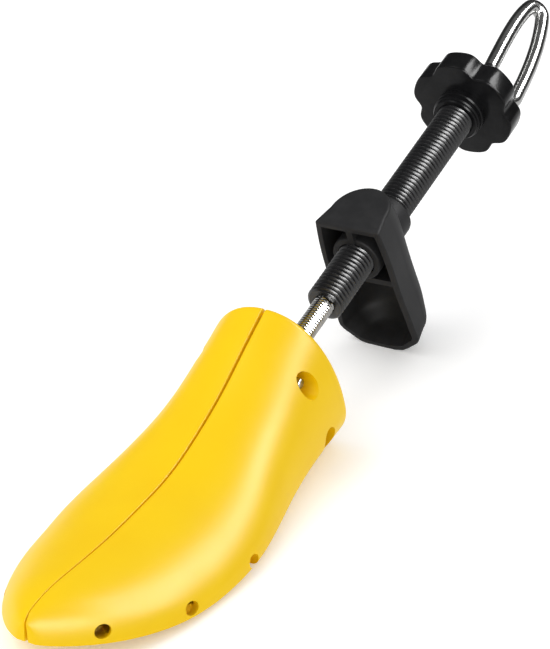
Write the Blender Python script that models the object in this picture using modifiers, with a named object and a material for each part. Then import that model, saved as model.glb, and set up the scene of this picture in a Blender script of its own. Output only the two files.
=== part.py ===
"""A two-way shoe stretcher: a split fore-foot form hinged at the toe, a heel block on a threaded tube with a
lobed knob, and a threaded rod with a hook handle that spreads the form.

World frame: +X across the form, +Y from the toe to the hook, +Z up, with the floor at zero. The rod lies in
the plane of the seam and climbs towards the hook, and the empty called rod_axis carries what sits on it.
"""

import math

import bmesh
import bpy
import numpy as np
from mathutils import Matrix, Vector

# The two half forms.
FORM_LENGTH = 0.1705
FORM_HALF_WIDTH = 0.0363
FORM_HEIGHT = 0.0576
FORM_WALL = 0.0030
SEAM_GAP = 0.0011
TOE_ROUND_LENGTH = 0.0507
TOE_LIFT = 0.0108
TOE_LIFT_LENGTH = 0.0640
TOE_EDGE_ROUND = 0.0047
REAR_EDGE_ROUND = 0.0035
SOLE_TRIM = 0.0006
CAVITY_START = 0.0150
CAVITY_REAR_WALL = 0.0032
RIB_THICKNESS = 0.0020
RIB_SETBACK = 0.0030
RIB_PLACE_SHARES = (0.22, 0.37, 0.52)

# Stations along the form from the toe, each a share of its length with a share of its half width or height.
WIDTH_SHARES = (
    (0.0, 0.636), (0.073, 0.740), (0.152, 0.815), (0.242, 0.887), (0.364, 0.970),
    (0.485, 0.988), (0.606, 0.907), (0.727, 0.804), (0.848, 0.753), (1.0, 0.733),
)
HEIGHT_SHARES = (
    (0.0, 0.170), (0.061, 0.260), (0.152, 0.329), (0.273, 0.372), (0.394, 0.402),
    (0.515, 0.441), (0.636, 0.546), (0.758, 0.690), (0.879, 0.860), (1.0, 1.014),
)
WIDEST_LINE_SHARES = ((0.0, 0.109), (0.35, 0.109), (1.0, 0.344))
LEAN_START_SHARE = 0.45
CROWN_POWER_TOE = 1.75
CROWN_POWER_REAR = 2.207
SOLE_POWER = 2.125

# Pits for stretching plugs, low on each side: share of the length, height above the floor, turn to the toe.
PIT_RADIUS = 0.0026
PIT_DEPTH = 0.0060
PIT_PLACE_SHARES = (0.0915, 0.2753, 0.476)
PIT_HEIGHTS = (0.0114, 0.0061, 0.0047)
PIT_TURNS = (math.radians(29.7), math.radians(10.6), 0.0)

# The rod line. The rod climbs by this angle, and passes the station point at a share of the form's height,
# this far behind the form's rear edge.
ROD_CLIMB = math.radians(16.0)
STATION_HEIGHT_SHARE = 0.5903
REAR_TO_STATION = 0.01156

# The toe hinge, whose pin stands square to the rod under this cover at each end.
HINGE_SETBACK = 0.0059
HINGE_COVER = 0.0021
HINGE_PIN_RADIUS = 0.0010
KNUCKLE_RADIUS = 0.0026
KNUCKLES = 3

# Clearances.
FIT = 0.0003
RUNNING_FIT = 0.0004
OVERRUN = 0.0200
MERGE = 0.00001

# The threaded rod, its stop nut and its thrust collars.
ROD_RADIUS = 0.0040
ROD_TOE_END = -0.0755
ROD_REAR_END = 0.0343
ROD_CHAMFER = 0.0006
SPIGOT_RADIUS = 0.0020
SPIGOT_LENGTH = 0.0080
STOP_NUT_FLATS = 0.0130
STOP_NUT_THICKNESS = 0.0040
COLLAR_RADIUS = 0.0080
COLLAR_LENGTH = 0.0050
COLLAR_CHAMFER = 0.0005
COLLAR_PIN_RADIUS = 0.0010

# The thrust block that the halves slide on, with its two cross pins.
BLOCK_PLACE = -0.0360
BLOCK_HALF_WIDTH = 0.0046
BLOCK_END_MARGIN = 0.0023
BLOCK_LENGTH = 0.0080
BLOCK_EDGE = 0.0008
CROSS_PIN_RADIUS = 0.0020
CROSS_PIN_HALF_LENGTH = 0.0195
CROSS_PIN_RISE_SHARE = 0.217
WELL_RADIUS = 0.0055
WELL_FLOOR = 0.0155
BOSS_RADIUS = 0.0078

# The crosshead nut, whose two upright pins ride in the slots of the halves.
CROSSHEAD_PLACE = -0.0635
CROSSHEAD_TRAVEL = 0.0100
CROSSHEAD_HALF_WIDTH = 0.0195
CROSSHEAD_HALF_HEIGHT = 0.0058
CROSSHEAD_LENGTH = 0.0100
CROSSHEAD_EDGE = 0.0008
CROSSHEAD_PIN_RADIUS = 0.0020
CROSSHEAD_PIN_SPREAD = 0.0160
CROSSHEAD_PIN_PROUD = 0.0020
SHELF_THICKNESS = 0.0026
SHELF_MARGIN = 0.0028
SHELF_SEAM_EDGE = 0.0022
HALF_SPREAD = math.radians(4.5)

# The threaded tube.
TUBE_RADIUS = 0.00725
TUBE_FRONT = 0.0145
TUBE_CHAMFER = 0.0009
TUBE_FLANGE_FLATS = 0.0170
TUBE_FLANGE_LENGTH = 0.0034

# The lobed knob with its front hub and its rear retainer.
KNOB_FRONT = 0.1342
KNOB_THICKNESS = 0.0086
KNOB_RADIUS = 0.0214
KNOB_LOBES = 6
KNOB_LOBE_DEPTH = 0.0026
KNOB_LOBE_POWER = 3.2
KNOB_TURN = math.radians(22.0)
KNOB_EDGE = 0.0010
KNOB_FRONT_WALL = 0.0028
KNOB_HUB_RADIUS = 0.0101
KNOB_HUB_LENGTH = 0.0079
RETAINER_RADIUS = 0.0125
RETAINER_THICKNESS = 0.0015

# The washer and the pinned collar behind the knob.
WASHER_RADIUS = 0.0065
WASHER_THICKNESS = 0.0012
REAR_COLLAR_RADIUS = 0.0055
REAR_COLLAR_LENGTH = 0.0050

# The hook handle.
HANDLE_RADIUS = 0.0030
HANDLE_TURN = math.radians(-48.0)
EYE_START = 0.1560
EYE_LEAN = 0.0019
EYE_TOP_CENTRE = 0.1996
EYE_TOP_RADIUS = 0.0038
EYE_TOP_END = math.radians(25.0)
EYE_BEND_PLACE = 0.1869
EYE_BEND_OUT = 0.0122
EYE_LEG_PLACE = 0.1620
EYE_LEG_OUT = 0.0147
EYE_FOOT_PLACE = 0.1540
EYE_FOOT_OUT = 0.0157
EYE_FOOT_ROUND = 0.0040

# The heel block. Levels are shares of its height from the top, then of its half width and its depth.
HEEL_FRONT = 0.0387
HEEL_TOP = 0.0172
HEEL_HEIGHT = 0.0662
HEEL_HALF_WIDTH = 0.0174
HEEL_DEPTH = 0.0252
HEEL_WALL = 0.0026
HEEL_TURN = math.radians(2.1)
HEEL_LEAN = math.radians(5.6)
HEEL_SIDE_TAPER = math.radians(11.6)
HEEL_STRAIGHT_SHARE = 0.42
HEEL_LEVEL_SHARES = (
    (0.0, 0.774, 0.932), (0.13, 0.832, 0.988), (0.27, 0.872, 0.982), (0.42, 0.890, 0.973),
    (0.57, 0.920, 0.966), (0.71, 0.967, 0.942), (0.82, 0.995, 0.868), (0.90, 0.929, 0.746),
    (0.955, 0.691, 0.604), (0.985, 0.490, 0.475), (1.0, 0.220, 0.356),
)
HEEL_BOSS_RADIUS = 0.0098
HEEL_BOSS_FRONT = 0.0405
HEEL_BOSS_REAR = 0.0685
HEEL_BOSS_CHAMFER = 0.0008
HEEL_SHELF_RISE = -0.0100
HEEL_SHELF_THICKNESS = 0.0025
HEEL_RIB_THICKNESS = 0.0025
HEEL_RIB_SETBACK = 0.0012

# Facets.
SECTION_POINTS = 15
FORM_STATIONS = 19
CAVITY_STATIONS = 13
TURN_STEPS = 32
SMALL_STEPS = 20
LOBE_POINTS = 14

COLOURS = {
    "yellow_plastic": ((1.0, 0.62, 0.013), 0.35, 0.0),
    "black_plastic": ((0.010, 0.010, 0.011), 0.38, 0.0),
    "black_tube": ((0.012, 0.012, 0.013), 0.33, 0.0),
    "bright_steel": ((0.62, 0.62, 0.63), 0.18, 1.0),
    "zinc_steel": ((0.48, 0.48, 0.47), 0.35, 1.0),
}


def clear_scene():
    for obj in list(bpy.data.objects):
        bpy.data.objects.remove(obj, do_unlink=True)


def new_collection(name):
    made = bpy.data.collections.new(name)
    bpy.context.scene.collection.children.link(made)
    return made


def material(name, colour_key):
    colour, roughness, metallic = COLOURS[colour_key]
    made = bpy.data.materials.new(name)
    made.use_nodes = True
    shader = made.node_tree.nodes["Principled BSDF"]
    shader.inputs["Base Color"].default_value = (*colour, 1.0)
    shader.inputs["Roughness"].default_value = roughness
    shader.inputs["Metallic"].default_value = metallic
    made.diffuse_color = (*colour, 1.0)
    return made


def link(obj, collection, colour_key=None):
    collection.objects.link(obj)
    if colour_key:
        obj.data.materials.append(material(obj.name, colour_key))
        obj.data.shade_smooth()
        obj.data.set_sharp_from_angle(angle=math.radians(35.0))
    else:
        obj.hide_render = True
        obj.display_type = "WIRE"
    return obj


def rod_point(across, up, along):
    """A place in the rod's own frame, whose Z runs to the hook and whose -Y points up and to the toe."""
    return Vector((across, -up, along))


def mesh_object(name, build, collection, colour_key=None, parent=None, matrix=None):
    """An object whose mesh the given function fills through bmesh."""
    mesh = bpy.data.meshes.new(name)
    work = bmesh.new()
    build(work)
    bmesh.ops.recalc_face_normals(work, faces=work.faces)
    work.to_mesh(mesh)
    work.free()
    obj = link(bpy.data.objects.new(name, mesh), collection, colour_key)
    obj.parent = parent
    if matrix is not None:
        obj.matrix_local = matrix
    return obj


def cylinder(name, radius, length, centre, toward, collection, colour_key=None, parent=None, steps=None, chamfer=0.0):
    """A round bar about a centre point, with its length along the given direction."""

    def build(work):
        bmesh.ops.create_cone(
            work, cap_ends=True, segments=steps or SMALL_STEPS, radius1=radius, radius2=radius, depth=length
        )

    matrix = Matrix.Translation(centre) @ Vector(toward).to_track_quat("Z", "Y").to_matrix().to_4x4()
    obj = mesh_object(name, build, collection, colour_key, parent, matrix)
    if chamfer:
        bevel_edges(obj, chamfer)
    return obj


def box(name, low, high, collection, colour_key=None, parent=None, edge=0.0):
    """A block between two corners of its parent's frame."""
    low, high = Vector(low), Vector(high)

    def build(work):
        bmesh.ops.create_cube(work, size=1.0)
        bmesh.ops.scale(work, vec=high - low, verts=work.verts)

    obj = mesh_object(name, build, collection, colour_key, parent, Matrix.Translation((low + high) / 2))
    if edge:
        bevel_edges(obj, edge)
    return obj


def bevel_edges(obj, width, segments=1):
    bevel = obj.modifiers.new("edges", "BEVEL")
    bevel.width = width
    bevel.segments = segments
    bevel.limit_method = "ANGLE"
    bevel.angle_limit = math.radians(40.0)


def turned(name, profile, collection, colour_key=None, parent=None, steps=None, closed=False):
    """A turned piece about its own Z, from (radius, height) points that run down its outer side."""

    def build(work):
        points = [work.verts.new((radius, 0.0, height)) for radius, height in profile]
        pairs = list(zip(points, points[1:])) + ([(points[-1], points[0])] if closed else [])
        for pair in pairs:
            work.edges.new(pair)

    obj = mesh_object(name, build, collection, colour_key, parent, Matrix.Identity(4))
    screw = obj.modifiers.new("turn", "SCREW")
    screw.axis = "Z"
    screw.steps = screw.render_steps = steps or TURN_STEPS
    screw.use_merge_vertices = True
    screw.merge_threshold = MERGE
    screw.use_smooth_shade = True
    return obj


def plate(name, outline, thickness, matrix, collection, colour_key=None, parent=None):
    """A flat outline made thick about its own plane: a filled curve, made a mesh so that it can be cut."""
    curve = bpy.data.curves.new(name + "_outline", "CURVE")
    curve.dimensions = "2D"
    curve.fill_mode = "BOTH"
    curve.extrude = thickness / 2
    spline = curve.splines.new("POLY")
    spline.points.add(len(outline) - 1)
    for point, (x, y) in zip(spline.points, outline):
        point.co = (x, y, 0.0, 1.0)
    spline.use_cyclic_u = True
    return curve_to_mesh(name, curve, matrix, collection, colour_key, parent)


def curve_to_mesh(name, curve, matrix, collection, colour_key=None, parent=None):
    guide = bpy.data.objects.new(name + "_guide", curve)
    collection.objects.link(guide)
    bpy.context.view_layer.update()
    graph = bpy.context.evaluated_depsgraph_get()
    mesh = bpy.data.meshes.new_from_object(guide.evaluated_get(graph))
    mesh.name = name
    bpy.data.objects.remove(guide, do_unlink=True)
    work = bmesh.new()
    work.from_mesh(mesh)
    bmesh.ops.remove_doubles(work, verts=work.verts, dist=MERGE)
    bmesh.ops.recalc_face_normals(work, faces=work.faces)
    work.to_mesh(mesh)
    work.free()
    obj = link(bpy.data.objects.new(name, mesh), collection, colour_key)
    obj.parent = parent
    obj.matrix_local = matrix
    return obj


def combine(obj, other, operation):
    step = obj.modifiers.new(operation.lower() + "_" + other.name, "BOOLEAN")
    step.operation = operation
    step.solver = "EXACT"
    step.object = other


def cut(obj, *cutters):
    for cutter in cutters:
        combine(obj, cutter, "DIFFERENCE")


def join(obj, *others):
    for other in others:
        combine(obj, other, "UNION")


def along_shares(table, share, smooth=False):
    """The value of a table of shares at a share of the length, on straight runs or on a smooth curve."""
    places = np.array([row[0] for row in table])
    values = np.array([row[1] for row in table])
    if not smooth:
        return float(np.interp(share, places, values))
    slopes = np.gradient(values, places)
    index = int(np.clip(np.searchsorted(places, share) - 1, 0, len(places) - 2))
    span = places[index + 1] - places[index]
    t = (share - places[index]) / span
    return float(
        (2 * t**3 - 3 * t**2 + 1) * values[index]
        + (t**3 - 2 * t**2 + t) * span * slopes[index]
        + (3 * t**2 - 2 * t**3) * values[index + 1]
        + (t**3 - t**2) * span * slopes[index + 1]
    )


def quarter_drop(distance, radius):
    """How far a quarter-round edge of this radius falls back, this far in from its end."""
    if distance >= radius:
        return 0.0
    return radius - math.sqrt(max(radius**2 - (radius - distance) ** 2, 0.0))


def toe_y():
    return STATION_Y - STATION_TO_TOE


def toe_rise(distance):
    """How far the sole lifts off the floor, this far behind the toe tip."""
    return TOE_LIFT * max(1.0 - distance / TOE_LIFT_LENGTH, 0.0) ** 2


def form_outline(distance, inset, seam):
    """World points of half of the form's section, from the sole at the seam round to the crown at the seam."""
    share = distance / FORM_LENGTH
    half_width = FORM_HALF_WIDTH * along_shares(WIDTH_SHARES, share, True)
    toe_share = min(distance / TOE_ROUND_LENGTH, 1.0)
    half_width *= math.sqrt(1.0 - (1.0 - toe_share) ** 2)
    height = FORM_HEIGHT * along_shares(HEIGHT_SHARES, share, True)
    inset = inset + quarter_drop(FORM_LENGTH - distance, REAR_EDGE_ROUND)
    half_width = half_width - inset
    low = inset
    high = height - inset - quarter_drop(distance, TOE_EDGE_ROUND)
    waist = low + (high - low) * along_shares(WIDEST_LINE_SHARES, share)
    crown = CROWN_POWER_TOE + (CROWN_POWER_REAR - CROWN_POWER_TOE) * share
    lift = toe_rise(distance)
    lean = ROD_CLIMB * min(max((share - LEAN_START_SHARE) / (1.0 - LEAN_START_SHARE), 0.0), 1.0)
    points = []
    for step in range(SECTION_POINTS):
        angle = math.pi * (step / (SECTION_POINTS - 1) - 0.5)
        power = 2.0 / (crown if angle >= 0.0 else SOLE_POWER)
        out = half_width * abs(math.cos(angle)) ** power
        rise = abs(math.sin(angle)) ** power
        up = waist + (high - waist) * rise if angle >= 0.0 else waist - (waist - low) * rise
        up = max(up, SOLE_TRIM) - SOLE_TRIM
        ends = step in (0, SECTION_POINTS - 1)
        across = seam if ends else max(out, seam)
        points.append(Vector((across, toe_y() + distance - up * math.tan(lean), up + lift)))
    return points


def loft(work, rings):
    """A closed skin through rings of as many points each, with flat ends."""
    loops = [[work.verts.new(point) for point in ring] for ring in rings]
    count = len(loops[0])
    for first, second in zip(loops, loops[1:]):
        for i in range(count):
            j = (i + 1) % count
            work.faces.new((first[i], first[j], second[j], second[i]))
    work.faces.new(loops[0])
    work.faces.new(loops[-1])
    bmesh.ops.remove_doubles(work, verts=work.verts, dist=MERGE)


def form_distances(start, end, count, rounding):
    """Distances behind the toe tip, close together at the toe, and through the rounded rear edge."""
    last = end - rounding
    places = [last * (1.0 - math.cos(math.pi / 2 * i / count)) for i in range(1, count + 1)]
    places = [place for place in places if place > start]
    if rounding:
        places += [last + rounding * math.sin(math.radians(angle)) for angle in (30.0, 60.0, 90.0)]
    return [start] + places


def slot_path():
    """The upright pin's path in the right half, which turns about the toe as the crosshead slides."""
    path = []
    steps = 6
    for i in range(steps + 1):
        turn = HALF_SPREAD * i / steps
        arm = CROSSHEAD_PLACE + CROSSHEAD_TRAVEL * i / steps - HINGE_ALONG
        across = CROSSHEAD_PIN_SPREAD * math.cos(turn) - arm * math.sin(turn)
        along = CROSSHEAD_PIN_SPREAD * math.sin(turn) + arm * math.cos(turn) + HINGE_ALONG
        path.append(Vector((across, along)))
    return path


def stadium(path, radius, steps=5):
    """The outline that a round pin of this radius sweeps along a path in its plane."""
    outline = []
    for points in (path, path[::-1]):
        for i, point in enumerate(points):
            before, after = points[max(i - 1, 0)], points[min(i + 1, len(points) - 1)]
            ahead = (after - before).normalized()
            outline.append(point + radius * Vector((ahead.y, -ahead.x)))
        end = (points[-1] - points[-2]).normalized()
        start = math.atan2(-end.x, end.y)
        for i in range(1, steps):
            angle = start + math.pi * i / steps
            outline.append(points[-1] + radius * Vector((math.cos(angle), math.sin(angle))))
    return [tuple(point) for point in outline]


def level_matrix(along, up):
    """The frame of a plate whose normal is the rod frame's up, and whose plane holds across and along."""
    return Matrix.Translation(rod_point(0.0, up, along)) @ Matrix.Rotation(math.radians(90.0), 4, "X")


def build_half(side, parts, tools, rod_axis, hinge):
    name = "form_half_right" if side > 0 else "form_half_left"
    tag = "_right" if side > 0 else "_left"
    flip = Matrix.Scale(side, 4, (1.0, 0.0, 0.0))
    seam = SEAM_GAP / 2

    def outer(work):
        places = form_distances(SEAM_GAP / 2, FORM_LENGTH, FORM_STATIONS, REAR_EDGE_ROUND)
        loft(work, [form_outline(place, 0.0, seam) for place in places])
        bmesh.ops.transform(work, matrix=hinge_frame().inverted() @ flip, verts=work.verts)

    half = mesh_object(name, outer, parts, "yellow_plastic")
    half.matrix_world = hinge_frame()

    def hollow(work):
        places = form_distances(CAVITY_START, FORM_LENGTH - CAVITY_REAR_WALL, CAVITY_STATIONS, 0.0)
        rings = [form_outline(place, FORM_WALL, -OVERRUN) for place in places]
        loft(work, rings)
        bmesh.ops.transform(work, matrix=flip, verts=work.verts)

    cavity = mesh_object("cavity" + tag, hollow, tools)

    def spot(across, up, along):
        return rod_point(side * across, up, along)

    # What the cavity leaves standing: cross ribs, the two guide bosses and the two slotted shelves.
    kept = []
    for index, share in enumerate(RIB_PLACE_SHARES):
        place = toe_y() + share * FORM_LENGTH
        low = (side * (seam + RIB_SETBACK), place - RIB_THICKNESS / 2, -OVERRUN)
        high = (side * (FORM_HALF_WIDTH + OVERRUN), place + RIB_THICKNESS / 2, FORM_HEIGHT + OVERRUN)
        kept.append(box(f"rib{tag}_{index}", *ordered(low, high), tools))
    boss_start = BLOCK_HALF_WIDTH + RUNNING_FIT
    for word, sign in (("upper", 1.0), ("lower", -1.0)):
        rise = sign * CROSS_PIN_RISE
        middle = boss_start + OVERRUN
        kept.append(
            cylinder(f"boss_{word}{tag}", BOSS_RADIUS, 2 * OVERRUN, spot(middle, rise, BLOCK_PLACE),
                     (1.0, 0.0, 0.0), tools, parent=rod_axis, steps=TURN_STEPS)
        )
    shelf_low = CROSSHEAD_HALF_HEIGHT + RUNNING_FIT
    shelf_toe = CROSSHEAD_PLACE - CROSSHEAD_PIN_RADIUS - RUNNING_FIT - SHELF_MARGIN
    shelf_rear = CROSSHEAD_PLACE + CROSSHEAD_TRAVEL + CROSSHEAD_PIN_RADIUS + RUNNING_FIT + 2 * SHELF_MARGIN
    for word, sign in (("upper", 1.0), ("lower", -1.0)):
        low = spot(SHELF_SEAM_EDGE, sign * shelf_low, shelf_toe)
        high = spot(FORM_HALF_WIDTH + OVERRUN, sign * (shelf_low + SHELF_THICKNESS), shelf_rear)
        kept.append(box(f"shelf_{word}{tag}", *ordered(low, high), tools, parent=rod_axis))
    cut(cavity, *kept)
    cut(half, cavity)

    # Wells with the guide slots at their floors, where the cross pins end.
    guide_drift = guide_path()
    for word, sign in (("upper", 1.0), ("lower", -1.0)):
        rise = sign * CROSS_PIN_RISE
        well = cylinder(f"well_{word}{tag}", WELL_RADIUS, 2 * OVERRUN, spot(WELL_FLOOR + OVERRUN, rise, BLOCK_PLACE),
                        (1.0, 0.0, 0.0), tools, parent=rod_axis, steps=TURN_STEPS)
        turn = Matrix.Rotation(math.radians(90.0), 4, "Y")
        outline = stadium(guide_drift, CROSS_PIN_RADIUS + RUNNING_FIT)
        guide = plate(f"guide_{word}{tag}", outline, 2 * WELL_FLOOR,
                      Matrix.Translation(spot(WELL_FLOOR, rise, 0.0)) @ turn, tools, parent=rod_axis)
        cut(half, well, guide)

    # The slanted slots for the crosshead's pins, through both shelves.
    mirrored = [Vector((side * point.x, point.y)) for point in slot_path()]
    slot = plate("slot" + tag, stadium(mirrored, CROSSHEAD_PIN_RADIUS + RUNNING_FIT),
                 2 * (shelf_low + SHELF_THICKNESS + CROSSHEAD_PIN_PROUD + FIT),
                 level_matrix(0.0, 0.0), tools, parent=rod_axis)
    cut(half, slot)

    # The rod's way through the rear wall.
    way = cylinder("way" + tag, ROD_RADIUS + RUNNING_FIT, OVERRUN, rod_point(0.0, 0.0, REAR_FACE_ALONG),
                   (0.0, 0.0, 1.0), tools, parent=rod_axis, steps=TURN_STEPS)

    # Room for the stop nut to turn, for a form too low to leave it.
    nut_middle = ROD_TOE_END + ROD_CHAMFER + STOP_NUT_THICKNESS / 2
    room = cylinder("nut_room" + tag, hexagon(STOP_NUT_FLATS)[0][0] + RUNNING_FIT,
                    STOP_NUT_THICKNESS + 2 * RUNNING_FIT, rod_point(0.0, 0.0, nut_middle), (0.0, 0.0, 1.0), tools,
                    parent=rod_axis, steps=TURN_STEPS)
    cut(half, way, room)

    # Pits for stretching plugs.
    for index, share in enumerate(PIT_PLACE_SHARES):
        distance = share * FORM_LENGTH
        reach = surface_half_width(distance, PIT_HEIGHTS[index])
        turn = PIT_TURNS[index]
        outward = Vector((side * math.cos(turn), -math.sin(turn), 0.0))
        mouth = Vector((side * reach, toe_y() + distance, PIT_HEIGHTS[index]))
        pit = cylinder(f"pit{tag}_{index}", PIT_RADIUS, PIT_DEPTH + OVERRUN,
                       mouth + outward * (OVERRUN - PIT_DEPTH) / 2, outward, tools, steps=SMALL_STEPS)
        cut(half, pit)

    # The toe hinge: pockets for the other half's knuckles, this half's knuckles, and the bore.
    pitch = KNUCKLE_LENGTH + FIT
    own = (0,) if side > 0 else (-1, 1)
    others = (-1, 1) if side > 0 else (0,)
    for index in others:
        pocket = cylinder(f"pocket{tag}_{index}", KNUCKLE_RADIUS + RUNNING_FIT, pitch + FIT,
                          Vector((0.0, 0.0, index * pitch)), (0.0, 0.0, 1.0), tools, parent=hinge, steps=24)
        cut(half, pocket)
    for index in own:
        knuckle = cylinder(f"knuckle{tag}_{index}", KNUCKLE_RADIUS, KNUCKLE_LENGTH,
                           Vector((0.0, 0.0, index * pitch)), (0.0, 0.0, 1.0), tools, parent=hinge, steps=24)
        join(half, knuckle)
    bore = cylinder("hinge_bore" + tag, HINGE_PIN_RADIUS + FIT, hinge_pin_length() + 2 * FIT,
                    Vector((0.0, 0.0, 0.0)), (0.0, 0.0, 1.0), tools, parent=hinge)
    cut(half, bore)
    return half


def ordered(first, second):
    low = tuple(min(a, b) for a, b in zip(first, second))
    high = tuple(max(a, b) for a, b in zip(first, second))
    return low, high


def guide_path():
    """Where the cross pin lies along the rod as the half turns, seen in the half: two ends of a short drift."""
    arm = BLOCK_PLACE - HINGE_ALONG
    tip = CROSS_PIN_HALF_LENGTH * math.sin(HALF_SPREAD) + arm * math.cos(HALF_SPREAD)
    return [Vector((-BLOCK_PLACE, 0.0)), Vector((-HINGE_ALONG - tip, 0.0))]


def surface_half_width(distance, height):
    """The form's half width at a height, read from its section."""
    outline = form_outline(distance, 0.0, 0.0)
    best = 0.0
    for first, second in zip(outline, outline[1:]):
        if min(first.z, second.z) <= height <= max(first.z, second.z) and first.z != second.z:
            t = (height - first.z) / (second.z - first.z)
            best = max(best, first.x + t * (second.x - first.x))
    return best


def toe_height():
    """The height of the form's section at the toe hinge."""
    return FORM_HEIGHT * along_shares(HEIGHT_SHARES, HINGE_SETBACK / FORM_LENGTH, True)


def hinge_pin_length():
    return KNUCKLES * KNUCKLE_LENGTH + (KNUCKLES - 1) * FIT


def rod_frame():
    place = Matrix.Translation((0.0, STATION_Y, STATION_HEIGHT))
    return place @ Matrix.Rotation(ROD_CLIMB - math.radians(90.0), 4, "X")


def hinge_frame():
    """On the toe pin, with Z along the pin, square to the rod."""
    return Matrix.Translation((0.0, toe_y() + HINGE_SETBACK, HINGE_HEIGHT)) @ Matrix.Rotation(ROD_CLIMB, 4, "X")


def ring_profile(outer, inner, low, high, chamfer=0.0):
    return [
        (inner, high), (outer - chamfer, high), (outer, high - chamfer),
        (outer, low + chamfer), (outer - chamfer, low), (inner, low),
    ] if chamfer else [(inner, high), (outer, high), (outer, low), (inner, low)]


def hexagon(flats):
    radius = flats / 2 / math.cos(math.radians(30.0))
    return [(radius * math.cos(math.radians(60.0 * i)), radius * math.sin(math.radians(60.0 * i))) for i in range(6)]


def build_spreader(parts, tools, rod_axis, hinge):
    """The thrust block with its cross pins, and the toe pin."""
    low, high = ordered(
        rod_point(-BLOCK_HALF_WIDTH, -BLOCK_HALF_HEIGHT, BLOCK_PLACE - BLOCK_LENGTH / 2),
        rod_point(BLOCK_HALF_WIDTH, BLOCK_HALF_HEIGHT, BLOCK_PLACE + BLOCK_LENGTH / 2),
    )
    block = box("thrust_block", low, high, parts, "zinc_steel", rod_axis, BLOCK_EDGE)
    bore = cylinder("thrust_bore", ROD_RADIUS + FIT, BLOCK_LENGTH + OVERRUN, rod_point(0.0, 0.0, BLOCK_PLACE),
                    (0.0, 0.0, 1.0), tools, parent=rod_axis, steps=TURN_STEPS)
    cut(block, bore)
    for word, sign in (("upper", 1.0), ("lower", -1.0)):
        place = rod_point(0.0, sign * CROSS_PIN_RISE, BLOCK_PLACE)
        hole = cylinder("cross_hole_" + word, CROSS_PIN_RADIUS + FIT, BLOCK_LENGTH + OVERRUN, place,
                        (1.0, 0.0, 0.0), tools, parent=rod_axis, steps=TURN_STEPS)
        cut(block, hole)
        cylinder("cross_pin_" + word, CROSS_PIN_RADIUS, 2 * CROSS_PIN_HALF_LENGTH, place, (1.0, 0.0, 0.0),
                 parts, "bright_steel", rod_axis, chamfer=ROD_CHAMFER)
    cylinder("toe_hinge_pin", HINGE_PIN_RADIUS, hinge_pin_length(), Vector((0.0, 0.0, 0.0)), (0.0, 0.0, 1.0),
             parts, "bright_steel", hinge)


def build_rod(parts, tools, rod_axis):
    """The threaded rod with its stop nut and its two pinned thrust collars."""
    bore = SPIGOT_RADIUS + FIT
    bore_floor = ROD_REAR_END - SPIGOT_LENGTH - FIT
    rod = turned(
        "threaded_rod",
        [
            (0.0, bore_floor), (bore, bore_floor), (bore, ROD_REAR_END), (ROD_RADIUS, ROD_REAR_END),
            (ROD_RADIUS, ROD_TOE_END + ROD_CHAMFER), (ROD_RADIUS - ROD_CHAMFER, ROD_TOE_END), (0.0, ROD_TOE_END),
        ],
        parts, "bright_steel", rod_axis, SMALL_STEPS,
    )
    nut_middle = ROD_TOE_END + ROD_CHAMFER + STOP_NUT_THICKNESS / 2
    nut = plate("stop_nut", hexagon(STOP_NUT_FLATS), STOP_NUT_THICKNESS,
                Matrix.Translation(rod_point(0.0, 0.0, nut_middle)), parts, "zinc_steel", rod_axis)
    nut_bore = cylinder("stop_nut_bore", ROD_RADIUS + FIT, STOP_NUT_THICKNESS + OVERRUN,
                        rod_point(0.0, 0.0, nut_middle), (0.0, 0.0, 1.0), tools, parent=rod_axis)
    cut(nut, nut_bore)
    gap = BLOCK_LENGTH / 2 + FIT
    for word, low in (("front", BLOCK_PLACE - gap - COLLAR_LENGTH), ("rear", BLOCK_PLACE + gap)):
        collar = turned(
            "thrust_collar_" + word,
            ring_profile(COLLAR_RADIUS, ROD_RADIUS + FIT, low, low + COLLAR_LENGTH, COLLAR_CHAMFER),
            parts, "zinc_steel", rod_axis, SMALL_STEPS, closed=True,
        )
        place = rod_point(0.0, 0.0, low + COLLAR_LENGTH / 2)
        hole = cylinder("collar_hole_" + word, COLLAR_PIN_RADIUS + FIT, 2 * COLLAR_RADIUS + OVERRUN, place,
                        (0.0, 1.0, 0.0), tools, parent=rod_axis)
        cut(collar, hole)
        cut(rod, hole)
        cylinder("collar_pin_" + word, COLLAR_PIN_RADIUS, 2 * (COLLAR_RADIUS - COLLAR_CHAMFER), place,
                 (0.0, 1.0, 0.0), parts, "bright_steel", rod_axis, steps=12)


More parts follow.
